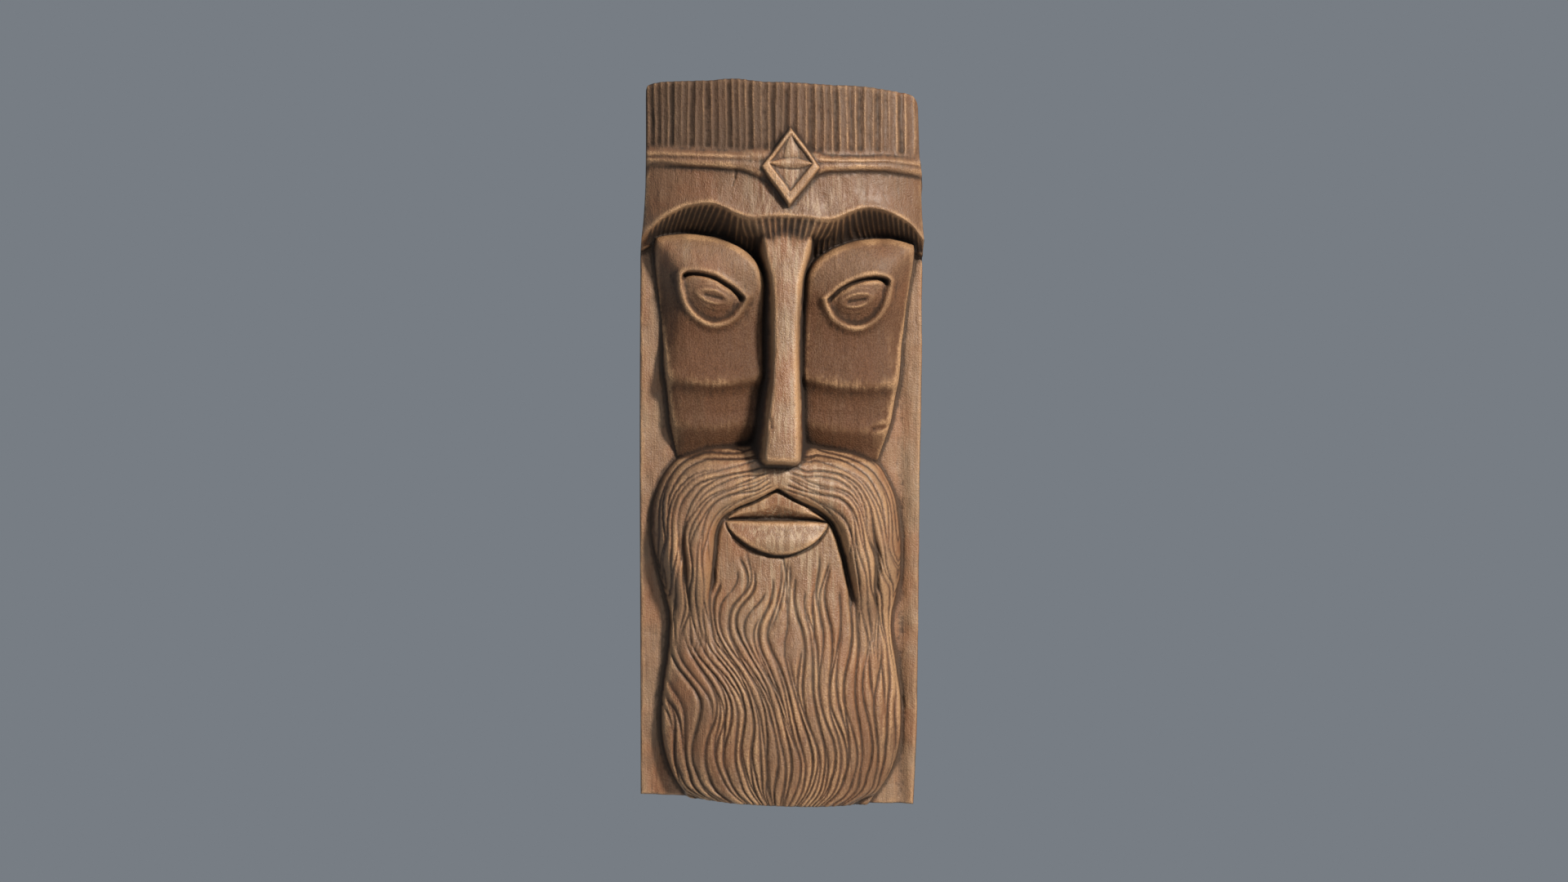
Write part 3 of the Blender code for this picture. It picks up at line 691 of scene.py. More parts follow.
@dataclass(frozen=True)
class Beard:
    """The moustache that sweeps into the sides of the beard, the chin and its wavy locks."""

    strand_width: float = 2.8 * MM
    strand_cut: float = 1.4 * MM
    lock_width: float = 4.7 * MM
    lock_cut: float = 1.7 * MM
    gap_cut: float = 4.0 * MM
    gap_off: float = 1.5 * MM
    gap_width: float = 1.3 * MM
    wing: tuple[Knot, ...] = (
        (0.0, -6.65), (6.0, -7.8), (12.0, -8.6), (17.5, -9.7), (20.6, -10.9), (22.6, -12.7),
        (23.7, -14.8), (24.8, -17.2), (25.6, -19.8), (26.4, -23.5), (26.0, -30.0), (24.5, -38.0),
        (23.5, -46.0), (23.0, -53.0))
    outline: tuple[Knot, ...] = (
        (0.0, 0.6), (9.0, 0.2), (23.3, -0.4), (29.7, -1.2), (35.0, -2.4), (38.7, -4.1),
        (42.0, -6.5), (43.6, -9.0), (44.2, -13.3), (43.0, -18.0), (39.4, -24.3), (40.3, -30.0),
        (42.4, -36.0), (42.4, -41.5), (39.6, -46.0), (34.0, -49.4), (28.0, -53.0))

    def half_width(self, up: Field) -> Field:
        """Return the half width of the moustache and beard at a height, in hundredths."""
        return through(
            up, (-52, 24), (-50.6, 28), (-49.4, 34), (-46, 39.6), (-41.4, 42.6), (-35.5, 42.2),
            (-30, 40.3), (-24.3, 39.4), (-18, 43), (-13.3, 44.2), (-9, 43.6), (-6.5, 42), (-4.1, 38.7),
            (-2.4, 35), (-1.2, 29.7), (-0.4, 23.3), (0.2, 9))

    def locks(self, at: Places) -> Field:
        """Return the cuts between the long wavy locks below the chin.

        Args:
            at: The places.

        Returns:
            One in the bottom of a cut and nothing on a lock's crest.
        """
        u = at.flank * at.side / self.half_width(at.up)
        up = at.up
        sway = (0.05 * np.sin(0.20 * up + 1.2 + 2.2 * u) + 0.03 * np.sin(0.15 * up + 6.0 * u + 2.0)
                + 0.04 * np.sin(0.33 * up + 3.0 * np.sin(2.6 * u) + 0.5))
        sway = sway - 0.085 * np.cos((up + 26) * 0.35) * np.sin(math.pi * u)
        sway = sway + 0.11 * ease((-16 - up) / 9) * ease((up + 37) / 10) * bump(u / 0.32)
        drift = 0.42 * ease((-22 - up) / 24) * (1 - ease((u + 0.6) / 1.2)) * (1 - 0.12 * u * u)
        bent = u + sway * ease((-14 - up) / 9) * (1 - 0.55 * u * u) - drift
        locks = at.plank.across(42) / self.lock_width
        reach = int(locks * 1.5) + 1
        return Cuts(forks=3, seed=11).at(locks * bent, up + 14, -reach, reach)

    def surface(self, at: Places) -> Field:
        """Return the depth of the moustache, chin and beard.

        Args:
            at: The places.

        Returns:
            The depth out from the wall.
        """
        plank, up, side = at.plank, at.up, at.side
        half = self.half_width(up)
        share = np.clip(side / half, 0.0, 1.0)
        crown = through(
            up, (-52, 58), (-50, 66), (-47, 70), (-40, 71), (-32, 67), (-25, 58), (-18, 50), (-13, 47),
            (-7, 52), (-3, 48), (0, 36))
        body = plank.rise(24 + (crown - 24) * (1 - share**2.4) ** 0.8)

        left = at.flank == Flank.LEFT.value
        drift = np.where(left, 6.5 * bump((up + 38) / 9), -2.5 * bump((up + 35) / 8))
        inner, way = along_path(np.abs(at.a) + plank.across(drift), at.b, plank.path(list(self.wing), 48))
        outer, _ = along_path(np.abs(at.a), at.b, plank.path(list(self.outline), 48))
        parting = np.maximum(1.0 - np.abs(inner) / self.strand_width, 0.0) ** 2
        free = ease((-17.0 - up + 2.6 * np.sin(at.flank * side * 0.45 + 1.0)) / 3.0)
        locks = self.locks(at)
        foot = ease((-25 - up) / 7)
        parted = parting * ease((-20 - up) / 5) * (1 - foot)
        chin = body - self.lock_cut * np.maximum(locks * free, parted)

        v = inner / np.maximum(inner + np.abs(outer), 1e-6)
        one = through(v, (0, 56), (0.08, 63), (0.3, 68), (0.5, 64), (0.7, 54), (0.88, 34), (1, 14))
        two = through(
            v, (0, 57), (0.08, 65), (0.26, 70), (0.42, 64), (0.53, 54), (0.62, 58), (0.75, 53),
            (0.88, 37), (1, 14))
        doubled = ease((way - 0.17) / 0.10) * ease((0.62 - way) / 0.2)
        swell = plank.rise(one + (two - one) * doubled)
        most = plank.across(19) / self.strand_width
        strands = most * (1.0 - 0.42 * ease((way - 0.22) / 0.25))
        sway = 0.035 * np.sin(way * 17 + at.flank + 3 * v) + 0.02 * np.sin(way * 40 + 2 * at.flank + 8 * v)
        phase = strands * (v + sway * ease(v / 0.15))
        fine = Cuts(forks=4, seed=23).at(phase, -90 * way, 0, int(most))
        fine = np.maximum(fine * ease(way / 0.03 + 0.15), parting)
        ended = ease((-17 - up) / 8)
        cut = self.strand_cut * fine * (1 - foot) + self.lock_cut * locks * foot
        wing = swell + ended * (body - swell) - cut
        gap = bump((inner + self.gap_off) / self.gap_width)
        gap = gap * ease((way - 0.07) / 0.08) * ease((0.45 - way) / 0.15)
        chin = chin - self.gap_cut * gap * np.where(left, 0.35, 1.0)
        depth = np.where(inner > 0, wing, higher(chin, wing - wall_down(-inner)))
        return depth - wall_down(outer)


@dataclass(frozen=True)
class Mouth:
    """Both lips, set in the hollow between the wings of the moustache."""

    width: float = 49.0 * MM
    lower_lip: float = 14.8 * MM
    meeting: float = -11.0
    undercut: float = 1.6 * MM
    undercut_off: float = 0.6 * MM
    undercut_width: float = 1.4 * MM

    def set_in(self, at: Places, depth: Field) -> Field:
        """Set both lips into the beard.

        Args:
            at: The places.
            depth: The depth so far.

        Returns:
            The depth with the lips.
        """
        plank, side, up = at.plank, at.side, at.up
        half = self.width / plank.across(2)
        hang = self.lower_lip / plank.up(1)
        bottom = self.meeting - hang * np.maximum(1 - (side / half) ** 2, 0.0) ** 0.75
        lower_lip = plank.rise(51 + 12 * bump((up - self.meeting + 2.8) / 2.2) - 11 * (side / half) ** 2)
        lower_lip = lower_lip - wall_down(plank.up(up - self.meeting)) - wall_down(plank.up(bottom - up))
        lower_lip = lower_lip - wall_down(plank.across(side - half))
        crest = through(side, (0, -6.5), (8, -8.3), (16, -9.9), (18.6, -11.0))
        t = np.clip((crest - up) / np.maximum(crest - self.meeting, 0.1), 0.0, 1.0)
        upper_lip = plank.rise(46 + 10 * np.sin(math.pi * t**0.6) - 22 * t**2 - 8 * (side / half) ** 2)
        opening = (up < crest + 0.3) & (up > self.meeting) & (side < half)
        depth = np.where(opening, np.minimum(depth, upper_lip), depth)
        below = plank.up(bottom - up) * (side < half)
        under = bump((below - self.undercut_off) / self.undercut_width) * (up < self.meeting) * (side < half)
        depth = depth - self.undercut * under
        return higher(depth, lower_lip)


@dataclass(frozen=True)
class Knock:
    """One crack or nick, as a short groove between two places of the board, all in millimetres."""

    start: tuple[float, float]
    end: tuple[float, float]
    width: float
    depth: float

    def cut(self, x: Field, z: Field) -> Field:
        """Return how deep the groove is at places."""
        off, _ = along_path(x, z, np.array([self.start, self.end]) * MM)
        return self.depth * MM * bump(off / (self.width * MM))


@dataclass(frozen=True)
class ToolMarks:
    """What the knife and the years leave: wandering lines, shallow facets, fibres and worn edges."""

    wander: float = 0.22 * MM
    aside: tuple[Unevenness, ...] = (Unevenness(9 * MM, 14 * MM, 31), Unevenness(3.5 * MM, 6 * MM, 32))
    along: tuple[Unevenness, ...] = (Unevenness(10 * MM, 9 * MM, 33), Unevenness(4 * MM, 4 * MM, 34))
    tooled: tuple[tuple[float, Unevenness], ...] = (
        (0.30 * MM, Unevenness(12 * MM, 18 * MM, 41)),
        (0.15 * MM, Unevenness(3.2 * MM, 5 * MM, 42)),
        (0.09 * MM, Unevenness(0.8 * MM, 9 * MM, 43)))
    pits: Unevenness = Unevenness(1.1 * MM, 1.4 * MM, 44)
    pit: float = 0.16 * MM
    adze: float = 0.40 * MM
    adzed: Unevenness = Unevenness(5 * MM, 8 * MM, 45)
    edge_round: float = 1.3 * MM
    edge_wear: Unevenness = Unevenness(8 * MM, 12 * MM, 51)
    knocks: tuple[Knock, ...] = (
        Knock((-22.7, 128.2), (-22.9, 124.6), 0.5, 0.9),
        Knock((-22.9, 124.6), (-23.9, 121.0), 0.4, 0.5),
        Knock((44.0, 7.2), (51.0, 8.6), 1.5, 0.9),
        Knock((-6.6, 11.5), (-6.2, 7.8), 0.8, 0.9),
        Knock((-65.0, -89.5), (-57.0, -91.5), 1.8, 0.3),
        Knock((59.0, -123.0), (59.8, -127.0), 0.9, 0.9))

    def bend(self, x: Field, z: Field) -> tuple[Field, Field]:
        """Let the drawn lines wander as a hand-held tool does."""
        dx, dz = (slow.at(x, z) + 0.5 * quick.at(x, z) for slow, quick in (self.aside, self.along))
        return x + self.wander * dx, z + self.wander * dz

    def work(self, x: Field, z: Field, depth: Field) -> Field:
        """Leave the tool marks on the carved surface.

        Args:
            x: Places across, in metres.
            z: Heights, in metres.
            depth: The depth of the carving there.

        Returns:
            The depth with its marks.
        """
        for height, unevenness in self.tooled:
            depth = depth + height * unevenness.at(x, z)
        for knock in self.knocks:
            depth = depth - knock.cut(x, z)
        return depth - self.pit * np.maximum(self.pits.at(x, z), 0.0)

    def wear_rim(self, plank: Plank, x: Field, z: Field, depth: Field) -> Field:
        """Round the front's outer edge over.

        Args:
            plank: The board.
            x: Places across, in metres.
            z: Heights, in metres.
            depth: The depth of the carving there.

        Returns:
            The depth with its rim rounded.
        """
        flat = z + x * math.tan(plank.end_slope)
        share = flat / plank.height + 0.5
        left, right = plank.sides(share)
        radius = self.edge_round * (1.0 + 0.5 * self.edge_wear.at(x, z))
        foot, top = plank.ends(x)
        inset = np.minimum(np.minimum(x - left, right - x), np.minimum(flat - foot, top - flat))
        reach = np.clip(1 - inset / radius, 0.0, 1.0)
        return depth - radius * (1 - np.sqrt(1 - reach**2 * 0.98))


@dataclass
class Carving:
    """The whole relief, worked out once on a fine raster and read off between its points."""

    plank: Plank
    step: float = 0.4 * MM
    border: float = 5.0 * MM
    head: Head = Head()
    brow_hollow: BrowHollow = BrowHollow()
    circlet: Circlet = Circlet()
    cheeks: Cheeks = Cheeks()
    eyes: Eyes = Eyes()
    nose: Nose = Nose()
    beard: Beard = Beard()
    mouth: Mouth = Mouth()
    marks: ToolMarks = ToolMarks()
    groove: float = 2.0 * MM
    groove_at: float = 44.0
    groove_width: float = 2.4
    cheek_fade: float = 2 * MM
    margin_fade: float = 1.5 * MM
    shade_reach: float = 9 * MM
    polish_and_sheen_off: float = 4 * MM
    polish_and_sheen_width: float = 31 * MM

    def __post_init__(self) -> None:
        """Work out the depth on the raster."""
        reach_x = self.plank.width / 2 + self.border
        reach_z = self.plank.height / 2 + self.plank.width * self.plank.end_slope / 2 + self.border
        self.xs = np.arange(-reach_x, reach_x + self.step, self.step)
        self.zs = np.arange(-reach_z, reach_z + self.step, self.step)
        x, z = np.meshgrid(self.xs, self.zs)
        bent_x, bent_z = self.marks.bend(x, z)
        carved = self.relief(bent_x, bent_z)
        carved = self.marks.work(x, z, carved + self.marks.adze * self.marks.adzed.at(x, z) * self.margin)
        self.depth = lower(self.marks.wear_rim(self.plank, x, z, carved), self.plank.deepest)

    def relief(self, x: Field, z: Field) -> Field:
        """Carve the front.

        Args:
            x: Places across, in metres.
            z: Heights, in metres.

        Returns:
            The depth out from the wall at each place.
        """
        shape = x.shape
        at = Places.on(self.plank, x.ravel(), z.ravel())
        up, across = at.up, at.x / self.plank.width * 100
        groove = bump((across - self.groove_at) / self.groove_width) * (0.45 + 0.55 * ease((8 - up) / 24))
        depth = self.plank.margin - self.groove * groove
        plain = self.head.surface(at)
        band = self.circlet.line(at)
        head = self.brow_hollow.cut(at, self.head, plain)
        head = self.circlet.lay(at, plain, head - self.head.flutes(at, band))
        depth = higher(depth, head)
        cheeks = self.eyes.sink_in(at, self.cheeks.surface(at))
        worn = 0.50 + 0.12 * at.flank
        worn = worn + (1 - worn) * ease((25 - up) / 10)
        self.cheek = (ease((cheeks - depth) / self.cheek_fade) * worn).reshape(shape)
        self.frame = ease((1.04 - self.circlet.reach(at)) / 0.08).reshape(shape)
        # Painted light: the hair's weathered colour fades towards the right, where the key lamp falls, so the
        # left half is painted as shaded.
        lit = np.clip(0.8 - 0.0084 * across, 0, 1)
        self.hair = (lit * ease((up - band - 1.0) / 1.2)).reshape(shape) * (1 - self.frame)
        # Darker above the brow and towards the foot of the beard.
        low = 0.14 * ease((-14 - up) / 6) + 0.36 * ease((-28 - up) / 14)
        self.darker_ends = (0.55 * ease((up - 28) / 4) + low).reshape(shape)
        shade = np.clip((plain - head) / self.shade_reach, 0, 1) * (up > 24)
        depth = higher(depth, cheeks)
        depth = higher(depth, self.beard.surface(at))
        depth = self.mouth.set_in(at, depth)
        depth = higher(depth, self.nose.surface(at), (0.6 + 1.6 * ease((up - 24) / 3)) * MM)
        self.margin = (1 - ease((depth - self.plank.margin) / self.margin_fade)).reshape(shape)
        self.shade = (shade * ease((head - depth) / MM + 1)).reshape(shape)
        # Middle of the face: rubbed to a lower roughness, and given pale streaks of painted sheen in the base
        # colour.
        middle = bump((at.a - self.polish_and_sheen_off) / self.polish_and_sheen_width) * (1 - ease((-20 - up) / 12))
        middle = middle * (0.72 + 0.28 * ease((2 - up) / 4))
        self.polish_and_sheen = middle.reshape(shape) * (1 - self.cheek) * (1 - self.hair) * (1 - self.shade)
        return depth.reshape(shape)

    def blurred(self, radius: float) -> Field:
        """Return the depth smoothed over a radius in metres.

        Args:
            radius: The radius.

        Returns:
            The smoothed depth.
        """
        rows = np.fft.fftfreq(self.depth.shape[0], self.step)[:, None]
        columns = np.fft.rfftfreq(self.depth.shape[1], self.step)[None, :]
        keep = np.exp(-2 * (math.pi * radius) ** 2 * (rows**2 + columns**2))
        return np.fft.irfft2(np.fft.rfft2(self.depth) * keep, s=self.depth.shape)

    def read(self, values: Field, x: Field, z: Field) -> Field:
        """Read raster values at places between its points.

        Args:
            values: One value for each point of the raster.
            x: Places across, in metres.
            z: Heights, in metres.

        Returns:
            The value at each place.
        """
        u = np.clip((x - self.xs[0]) / self.step, 0, len(self.xs) - 1.001)
        v = np.clip((z - self.zs[0]) / self.step, 0, len(self.zs) - 1.001)
        i, j = u.astype(int), v.astype(int)
        corners = tuple(values[j + above, i + right] for above in (0, 1) for right in (0, 1))
        return between(corners, u - i, v - j)


def linear(hex_colour: str) -> tuple[float, float, float, float]:
    """Turn an sRGB hex colour into linear light, with alpha one.

    Args:
        hex_colour: A # and six digits.

    Returns:
        Red, green, blue and alpha.
    """
    channels = [int(hex_colour[i:i + 2], 16) / 255 for i in (1, 3, 5)]
    red, green, blue = (c / 12.92 if c <= 0.04045 else ((c + 0.055) / 1.055) ** 2.4 for c in channels)
    return red, green, blue, 1.0


def add_node(tree: bpy.types.NodeTree, kind: str, settings: dict | None = None,
             **inputs: object) -> bpy.types.Node:
    """Add a node with its settings and inputs.

    Args:
        tree: The node tree.
        kind: The node's type.
        settings: Properties of the node by name.
        inputs: Sockets by name, with _ for a space, or by number as i0; each a value or a socket.

    Returns:
        The node.
    """
    node = tree.nodes.new(kind)
    for name, value in (settings or {}).items():
        setattr(node, name, value)
    for name, value in inputs.items():
        key = int(name[1:]) if name[0] == "i" and name[1:].isdigit() else name.replace("_", " ")
        socket = node.inputs[key]
        if isinstance(value, bpy.types.NodeSocket):
            tree.links.new(value, socket)
        else:
            socket.default_value = value
    return node


class Mark(Enum):
    """What the wood's finish and its painted shade and sheen read off the carving, as mesh attributes."""

    CREST = "crest"
    CUT = "cut"
    PAINTED_SHADE = "painted_shade"
    CHEEK = "cheek"
    HAIR = "hair"
    POLISH_AND_SHEEN = "polish_and_sheen"
    DARKER_ENDS = "darker_ends"
    MARGIN = "margin"


@dataclass(frozen=True)
class StainedLimewood:
    """Limewood, cut with gouges, stained brown, rubbed back and waxed.

    The stain stays dark in the cuts and is rubbed off to gold along the ridges. Painted shade darkens
    the recesses, the hollow under the brow and the sides turned from the key lamp. Upright fibres make
    fine streaks, and the wax gives a soft sheen; pale streaks in the middle of the face are painted
    sheen, and the grey patches are partly painted sheen too.
    """

    stain: str = "#80624b"
    warm: str = "#855a3e"
    # Grey patches: random tone, and partly a painted sheen of the sky in the wax.
    grey_and_sheen: str = "#84705a"
    dark: str = "#512f14"
    # Weathered grey-brown of the hair, laid heavier on the left as painted shade.
    weathered_and_shaded: str = "#4b3727"
    deep: str = "#251a12"
    rubbed: str = "#bb946d"
    # Bleached patches on the margins, and the pale colour of the painted sheen streaks.
    bleach_and_sheen: str = "#bba184"
    # Limewood's fibres are finer than 0.1 mm. They are drawn this wide so that they show.
    fibre_width: float = 0.45 * MM
    fibre_length: float = 14 * MM
    streak_length: float = 40 * MM
    blotch: float = 22 * MM
    grit: float = 0.8 * MM
    fibre_relief: float = 0.3 * MM
    grit_relief: float = 0.45 * MM
    ior: float = 1.5
    roughness: float = 0.42
    wax: float = 0.12
    wax_roughness: float = 0.32

    def material(self) -> bpy.types.Material:
        """Make the node material.

        Returns:
            The material.
        """
        material = bpy.data.materials.new("stained_limewood")
        material.use_nodes = True
        tree = material.node_tree
        shader = tree.nodes["Principled BSDF"]
        place = add_node(tree, "ShaderNodeTexCoord").outputs["Object"]
        values = {}
        for mark in Mark:
            read = add_node(tree, "ShaderNodeAttribute", {"attribute_name": mark.value})
            values[mark.value] = read.outputs["Fac"]
        for name, size, detail in (
                ("fibre", (self.fibre_width, self.fibre_width, self.fibre_length), 3.0),
                ("streak", (4 * self.fibre_width, 4 * self.fibre_width, self.streak_length), 2.0),
                ("blotch", (self.blotch, self.blotch, self.blotch), 3.0),
                ("patch", (0.45 * self.blotch, self.blotch, 1.6 * self.blotch), 4.0),
                ("grit", (self.grit, self.grit, self.grit), 3.0)):
            stretched = add_node(tree, "ShaderNodeMapping", Vector=place, Scale=[1 / side for side in size])
            noise = add_node(tree, "ShaderNodeTexNoise", Vector=stretched.outputs["Vector"], Scale=1.0,
                             Detail=detail)
            values[name] = noise.outputs["Fac"]
        for name, mark, pattern, low, high, least in (
                ("mottled", Mark.CHEEK, "grit", 0.40, 0.62, 0.70),
                ("pale", Mark.MARGIN, "patch", 0.34, 0.62, 0.10),
                ("painted_sheen", Mark.POLISH_AND_SHEEN, "streak", 0.42, 0.66, 0.0),
                ("worn", Mark.CREST, "grit", 0.30, 0.62, 0.45)):
            share = add_node(tree, "ShaderNodeMapRange", SMOOTH, Value=values[pattern], From_Min=low,
                             From_Max=high, To_Min=least)
            product = add_node(tree, "ShaderNodeMath", {"operation": "MULTIPLY"}, i0=values[mark.value],
                               i1=share.outputs["Result"])
            values[name] = product.outputs[0]
        matt = add_node(tree, "ShaderNodeMath", {"operation": "ADD"}, i0=values[Mark.CHEEK.value],
                        i1=values[Mark.HAIR.value])
        values["matt"] = matt.outputs[0]

        colour = linear(self.stain)
        for source, low, high, most, tint in (
                ("blotch", 0.38, 0.66, 1.0, self.warm), ("patch", 0.50, 0.75, 0.70, self.grey_and_sheen),
                ("fibre", 0.35, 0.75, 0.30, self.rubbed), ("streak", 0.52, 0.80, 0.35, self.deep),
                ("grit", 0.55, 0.80, 0.30, self.deep), ("darker_ends", 0.0, 1.0, 0.80, self.dark),
                ("mottled", 0.0, 1.0, 0.92, self.dark), ("hair", 0.0, 1.0, 0.80, self.weathered_and_shaded),
                # The pale streaks over the middle of the face are painted sheen.
                ("pale", 0.0, 1.0, 0.16, self.bleach_and_sheen), ("painted_sheen", 0.0, 1.0, 0.58, self.bleach_and_sheen),
                # The layer over recesses, the brow hollow and sides turned from the key lamp is painted shade
                # in the deep colour.
                ("worn", 0.0, 1.0, 0.85, self.rubbed), ("painted_shade", 0.1, 1.0, 0.85, self.deep),
                ("cut", 0.0, 1.0, 0.75, self.deep)):
            share = add_node(tree, "ShaderNodeMapRange", SMOOTH, Value=values[source], From_Min=low,
                             From_Max=high, To_Max=most)
            layer = add_node(tree, "ShaderNodeMix", {"data_type": "RGBA"}, i0=share.outputs["Result"],
                             i6=colour, i7=linear(tint))
            colour = layer.outputs[2]
        tree.links.new(colour, shader.inputs["Base Color"])

        rough = self.roughness
        for source, low, high, more in (
                ("fibre", 0.3, 0.7, 0.14), ("cut", 0.0, 1.0, 0.25), ("polish_and_sheen", 0.0, 1.0, -0.12),
                ("matt", 0.0, 1.0, 0.22)):
            share = add_node(tree, "ShaderNodeMapRange", SMOOTH, Value=values[source], From_Min=low,
                             From_Max=high, To_Max=more)
            total = add_node(tree, "ShaderNodeMath", {"operation": "ADD"}, i0=rough,
                             i1=share.outputs["Result"])
            rough = total.outputs[0]
        tree.links.new(rough, shader.inputs["Roughness"])
        waxed = add_node(tree, "ShaderNodeMapRange", SMOOTH, Value=values["matt"], To_Min=self.wax,
                         To_Max=0.0)
        tree.links.new(waxed.outputs["Result"], shader.inputs["Coat Weight"])
        shader.inputs["IOR"].default_value = self.ior
        shader.inputs["Coat Roughness"].default_value = self.wax_roughness

        fine = add_node(tree, "ShaderNodeBump", Strength=0.7, Distance=self.fibre_relief,
                        Height=values["fibre"])
        coarse = add_node(tree, "ShaderNodeBump", Strength=0.85, Distance=self.grit_relief,
                          Height=values["grit"], Normal=fine.outputs["Normal"])
        tree.links.new(coarse.outputs["Normal"], shader.inputs["Normal"])
        return material


@dataclass
class CarvedBoard:
    """The one piece: the carved front, the sawn ends and sides and the flat back."""

    carving: Carving
    finish: StainedLimewood
    spacing: float = 0.46 * MM
    triangles: int = 176000
    fine_blur: float = 0.5 * MM
    form_blur: float = 1.3 * MM
    broad_blur: float = 4 * MM
    fine_step: float = 0.10 * MM
    form_step: float = 0.30 * MM
    painted_shade_step: float = 6 * MM
    rubbed: Unevenness = Unevenness(7 * MM, 16 * MM, 61)
    rings: tuple[tuple[float, float], ...] = ((0.93, 0.0), (0.5, 0.0), (0.06, 0.0), (0.0, 0.9 * MM))

    def build(self) -> bpy.types.Object:
        """Build the piece and dress it.

        Returns:
            The finished piece.
        """
        piece = self.carve_front()
        self.close_back(piece)
        self.mark(piece)
        piece.data.materials.clear()
        piece.data.materials.append(self.finish.material())
        bpy.ops.object.shade_smooth()
        for face in piece.data.polygons:
            face.use_smooth = face.normal.y < 0.9
        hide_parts(NODE)
        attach(piece, "root")
        return piece

    def carve_front(self) -> bpy.types.Object:
        """Carve a fine grid and thin it out where it is plain.

        Returns:
            The piece, open at its rim.
        """
        plank = self.carving.plank
        bpy.ops.object.select_all(action="DESELECT")
        columns, rows = (round(side / self.spacing) for side in (plank.width, plank.height))
        bpy.ops.mesh.primitive_grid_add(x_subdivisions=columns, y_subdivisions=rows, size=1)
        piece = bpy.context.object
        piece.name = piece.data.name = "carved_board"
        mesh = piece.data
        u, v, _ = self.corners(mesh)
        x, z = plank.outline(u + 0.5, v + 0.5)
        depth = self.carving.read(self.carving.depth, x, z)
        mesh.vertices.foreach_set("co", np.column_stack([x, -depth, z]).astype(np.float32).ravel())
        mesh.update()
        thin = piece.modifiers.new("thin", "DECIMATE")
        thin.ratio = self.triangles / (2 * len(mesh.polygons))
        bpy.ops.object.modifier_apply(modifier=thin.name)
        return piece

    @staticmethod
    def corners(mesh: bpy.types.Mesh) -> Field:
        """Return the x, y and z of each corner of a mesh, as three rows.

        Args:
            mesh: The mesh.

        Returns:
            Three rows of places, in metres.
        """
        places = np.empty(len(mesh.vertices) * 3, np.float32)
        mesh.vertices.foreach_get("co", places)
        return places.reshape(-1, 3).astype(float).T

    def close_back(self, piece: bpy.types.Object) -> None:
        """Carry the rim back to the wall in rings, and close the flat back with an eased edge.

        Args:
            piece: The piece, open at its rim.
        """
        for share, inset in self.rings:
            self.extrude_rim(piece, share, inset)
        bpy.ops.object.mode_set(mode="EDIT")
        bpy.ops.mesh.edge_face_add()
        bpy.ops.mesh.select_all(action="SELECT")
        bpy.ops.mesh.normals_make_consistent(inside=False)
        bpy.ops.object.mode_set(mode="OBJECT")

    def extrude_rim(self, piece: bpy.types.Object, share: float, inset: float) -> None:
        """Extrude the open rim to a share of the front's depth.

        Args:
            piece: The piece, open at its rim.
            share: Where the new ring goes, from 0 at the wall to 1 at the front.
            inset: How far the new ring is drawn in towards the middle.
        """
        bpy.ops.object.mode_set(mode="EDIT")
        bpy.ops.mesh.select_mode(type="EDGE")
        bpy.ops.mesh.select_all(action="DESELECT")
        bpy.ops.mesh.select_non_manifold(extend=False)
        bpy.ops.mesh.extrude_edges_move()
        bpy.ops.object.mode_set(mode="OBJECT")
        plank = self.carving.plank
        for vertex in piece.data.vertices:
            if vertex.select:
                x, z = vertex.co.x, vertex.co.z
                front = float(self.carving.read(self.carving.depth, np.array(x), np.array(z)))
                vertex.co.y = -share * front
                vertex.co.x = x * (1 - 2 * inset / plank.width)
                vertex.co.z = z * (1 - 2 * inset / plank.height)

    def mark(self, piece: bpy.types.Object) -> None:
        """Write where the stain is rubbed off and where it gathers, and where shade and sheen are painted.

        Args:
            piece: The finished shape.
        """
        x, y, z = self.corners(piece.data)
        carving = self.carving
        blurs = (self.fine_blur, self.form_blur, self.broad_blur)
        near, wide, broad = (carving.blurred(blur) for blur in blurs)
        fine = (carving.depth - near) / self.fine_step
        form = (near - wide) / self.form_step
        crest = np.clip(0.4 * np.maximum(fine, 0) + 0.6 * np.maximum(form, 0) - 0.12, 0, 1)
        cut = np.clip(0.4 * np.maximum(-fine, 0) + 0.6 * np.maximum(-form, 0) - 0.08, 0, 1)
        # Painted shade: broad recesses, the hollow under the brow and sides that turn left, away from the key
        # lamp, get the deep colour.
        painted_shade = np.clip((broad - carving.depth) / self.painted_shade_step, 0, 1)
        painted_shade = painted_shade * (1 - 0.8 * carving.frame) * (1 - 0.8 * carving.margin)
        turned = np.clip((np.gradient(near, carving.step, axis=1) - 0.25) / 1.2, 0, 1)
        rolled = np.clip((np.gradient(broad, carving.step, axis=1) - 0.35) / 1.2, 0, 1) * (1 - carving.cheek)
        turned = np.maximum(0.75 * turned, 0.5 * rolled * (1 - 0.6 * carving.margin))
        painted_shade = np.maximum(painted_shade, np.maximum(carving.shade, turned)) * (1 - 0.4 * crest)
        rubbed = 0.75 + 0.45 * self.rubbed.at(*np.meshgrid(carving.xs, carving.zs))
        front = -y > 0.94 * carving.read(carving.depth, x, z)
        marks = {
            Mark.CREST: crest * (1 - 0.5 * carving.hair) * rubbed,
            Mark.CUT: cut,
            Mark.PAINTED_SHADE: painted_shade,
            Mark.DARKER_ENDS: carving.darker_ends * (1 - carving.frame) * (1 - carving.margin),
            Mark.MARGIN: carving.margin,
            Mark.CHEEK: carving.cheek,
            Mark.HAIR: carving.hair,
            Mark.POLISH_AND_SHEEN: carving.polish_and_sheen,
        }
        for mark, values in marks.items():
            layer = piece.data.attributes.new(mark.value, "FLOAT", "POINT")
            layer.data.foreach_set("value", (carving.read(values, x, z) * front).astype(np.float32))


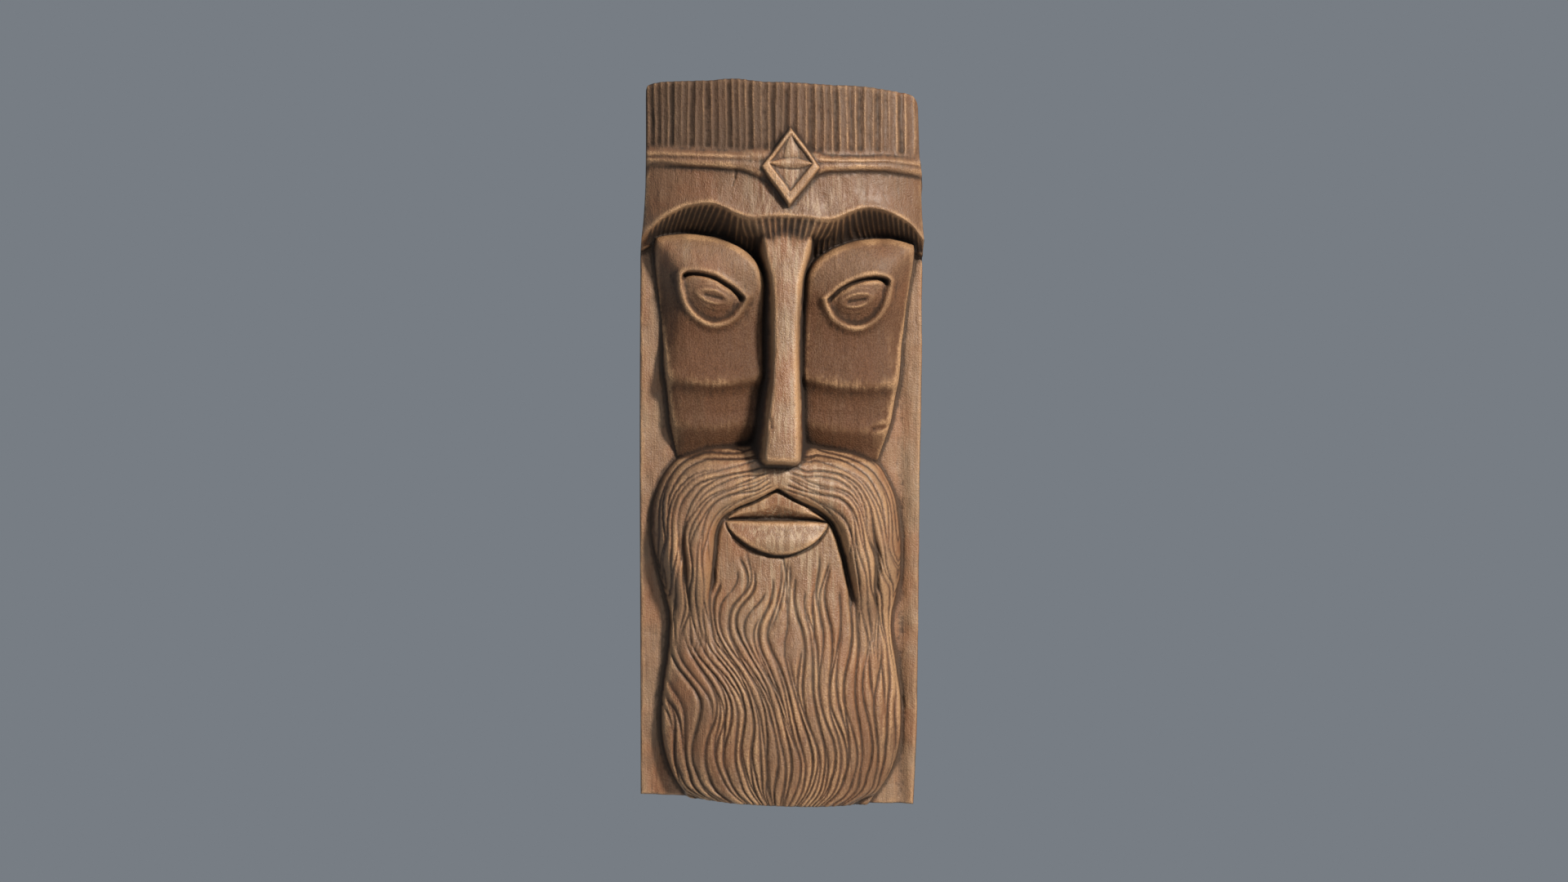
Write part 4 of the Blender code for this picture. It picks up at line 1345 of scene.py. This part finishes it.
def aim(thing: bpy.types.Object, target: Vector, azimuth: float, elevation: float,
        distance: float) -> None:
    """Place a lamp or the camera round a target and turn it there.

    Args:
        thing: The lamp or camera.
        target: What it looks at.
        azimuth: How far round it stands, in degrees to the right of straight in front.
        elevation: How far up it stands, in degrees.
        distance: How far off it stands, in metres.
    """
    turn, tilt = math.radians(azimuth), math.radians(elevation)
    way = Vector((math.sin(turn) * math.cos(tilt), -math.cos(turn) * math.cos(tilt), math.sin(tilt)))
    bpy.context.scene.collection.objects.link(thing)
    thing.location = target + way * distance
    thing.rotation_euler = (-way).to_track_quat("-Z", "Y").to_euler()


@dataclass(frozen=True)
class Lamp:
    """One soft studio lamp that looks at the mask."""

    name: str
    azimuth: float
    elevation: float
    distance: float
    size: float
    power: float
    colour: str

    def place(self, target: Vector) -> None:
        """Hang the lamp and turn it to the target.

        Args:
            target: What it looks at.
        """
        data = bpy.data.lights.new(self.name, "AREA")
        data.size = self.size
        data.energy = self.power
        data.color = linear(self.colour)[:3]
        lamp = bpy.data.objects.new(self.name, data)
        aim(lamp, target, self.azimuth, self.elevation, self.distance)


@dataclass(frozen=True)
class Studio:
    """A pale floor, soft lamps and the camera at the photograph's viewing angle."""

    floor_drop: float = 0.75
    floor_size: float = 3.0
    floor_colour: str = "#c9c9c6"
    floor_roughness: float = 0.9
    backdrop: str = "#777d84"
    target: tuple[float, float, float] = (2.9 * MM, 0.0, 1.2 * MM)
    azimuth: float = -3.83
    elevation: float = 0.47
    distance: float = 1.064
    lens: float = 50
    sensor: float = 36
    lamps: tuple[Lamp, ...] = (
        Lamp("key", 34, 27, 1.8, 0.22, 40, "#fff4e6"),
        Lamp("fill", -40, 5, 1.8, 1.2, 1.0, "#eaf2ff"),
        Lamp("top", 5, 70, 1.6, 0.9, 4, "#ffffff"),
        Lamp("back", 165, 35, 2.0, 1.2, 14, "#ffffff"),
    )

    def set_up(self) -> None:
        """Set up floor, lamps, backdrop and camera."""
        self.lay_floor()
        for lamp in self.lamps:
            lamp.place(Vector((0, 0, 0)))
        world = bpy.data.worlds.new("studio")
        world.use_nodes = True
        background = world.node_tree.nodes["Background"]
        background.inputs["Color"].default_value = linear(self.backdrop)
        bpy.context.scene.world = world
        bpy.context.scene.view_settings.view_transform = "Standard"
        self.place_camera()

    def lay_floor(self) -> None:
        """Lay the pale floor, one flat square below the mask."""
        bpy.ops.object.select_all(action="DESELECT")
        bpy.ops.mesh.primitive_plane_add(size=self.floor_size, location=(0, 0, -self.floor_drop))
        floor = bpy.context.object
        floor.name = "floor"
        bpy.ops.object.transform_apply(location=True)
        material = bpy.data.materials.new("pale_paper")
        material.use_nodes = True
        shader = material.node_tree.nodes["Principled BSDF"]
        shader.inputs["Base Color"].default_value = linear(self.floor_colour)
        shader.inputs["Roughness"].default_value = self.floor_roughness
        floor.data.materials.append(material)

    def place_camera(self) -> None:
        """Put the camera where the photograph was taken from."""
        camera = bpy.data.objects.new("camera", bpy.data.cameras.new("camera"))
        camera.data.lens = self.lens
        camera.data.sensor_width = self.sensor
        aim(camera, Vector(self.target), self.azimuth, self.elevation, self.distance)
        bpy.context.scene.camera = camera


def main() -> None:
    """Build the mask and its studio, and report each piece."""
    logging.basicConfig(level=logging.INFO, format="%(message)s")
    plank = Plank.from_frame()
    LOG.info("board %.1f x %.1f mm", plank.width / MM, plank.height / MM)
    carving = Carving(plank)
    LOG.info("relief %.1f to %.1f mm deep", carving.depth.min() / MM, carving.depth.max() / MM)
    piece = CarvedBoard(carving, StainedLimewood()).build()
    LOG.info("%s: %d faces", piece.name, len(piece.data.polygons))
    Studio().set_up()
    LOG.info("studio ready")


if __name__ == "__main__":
    main()
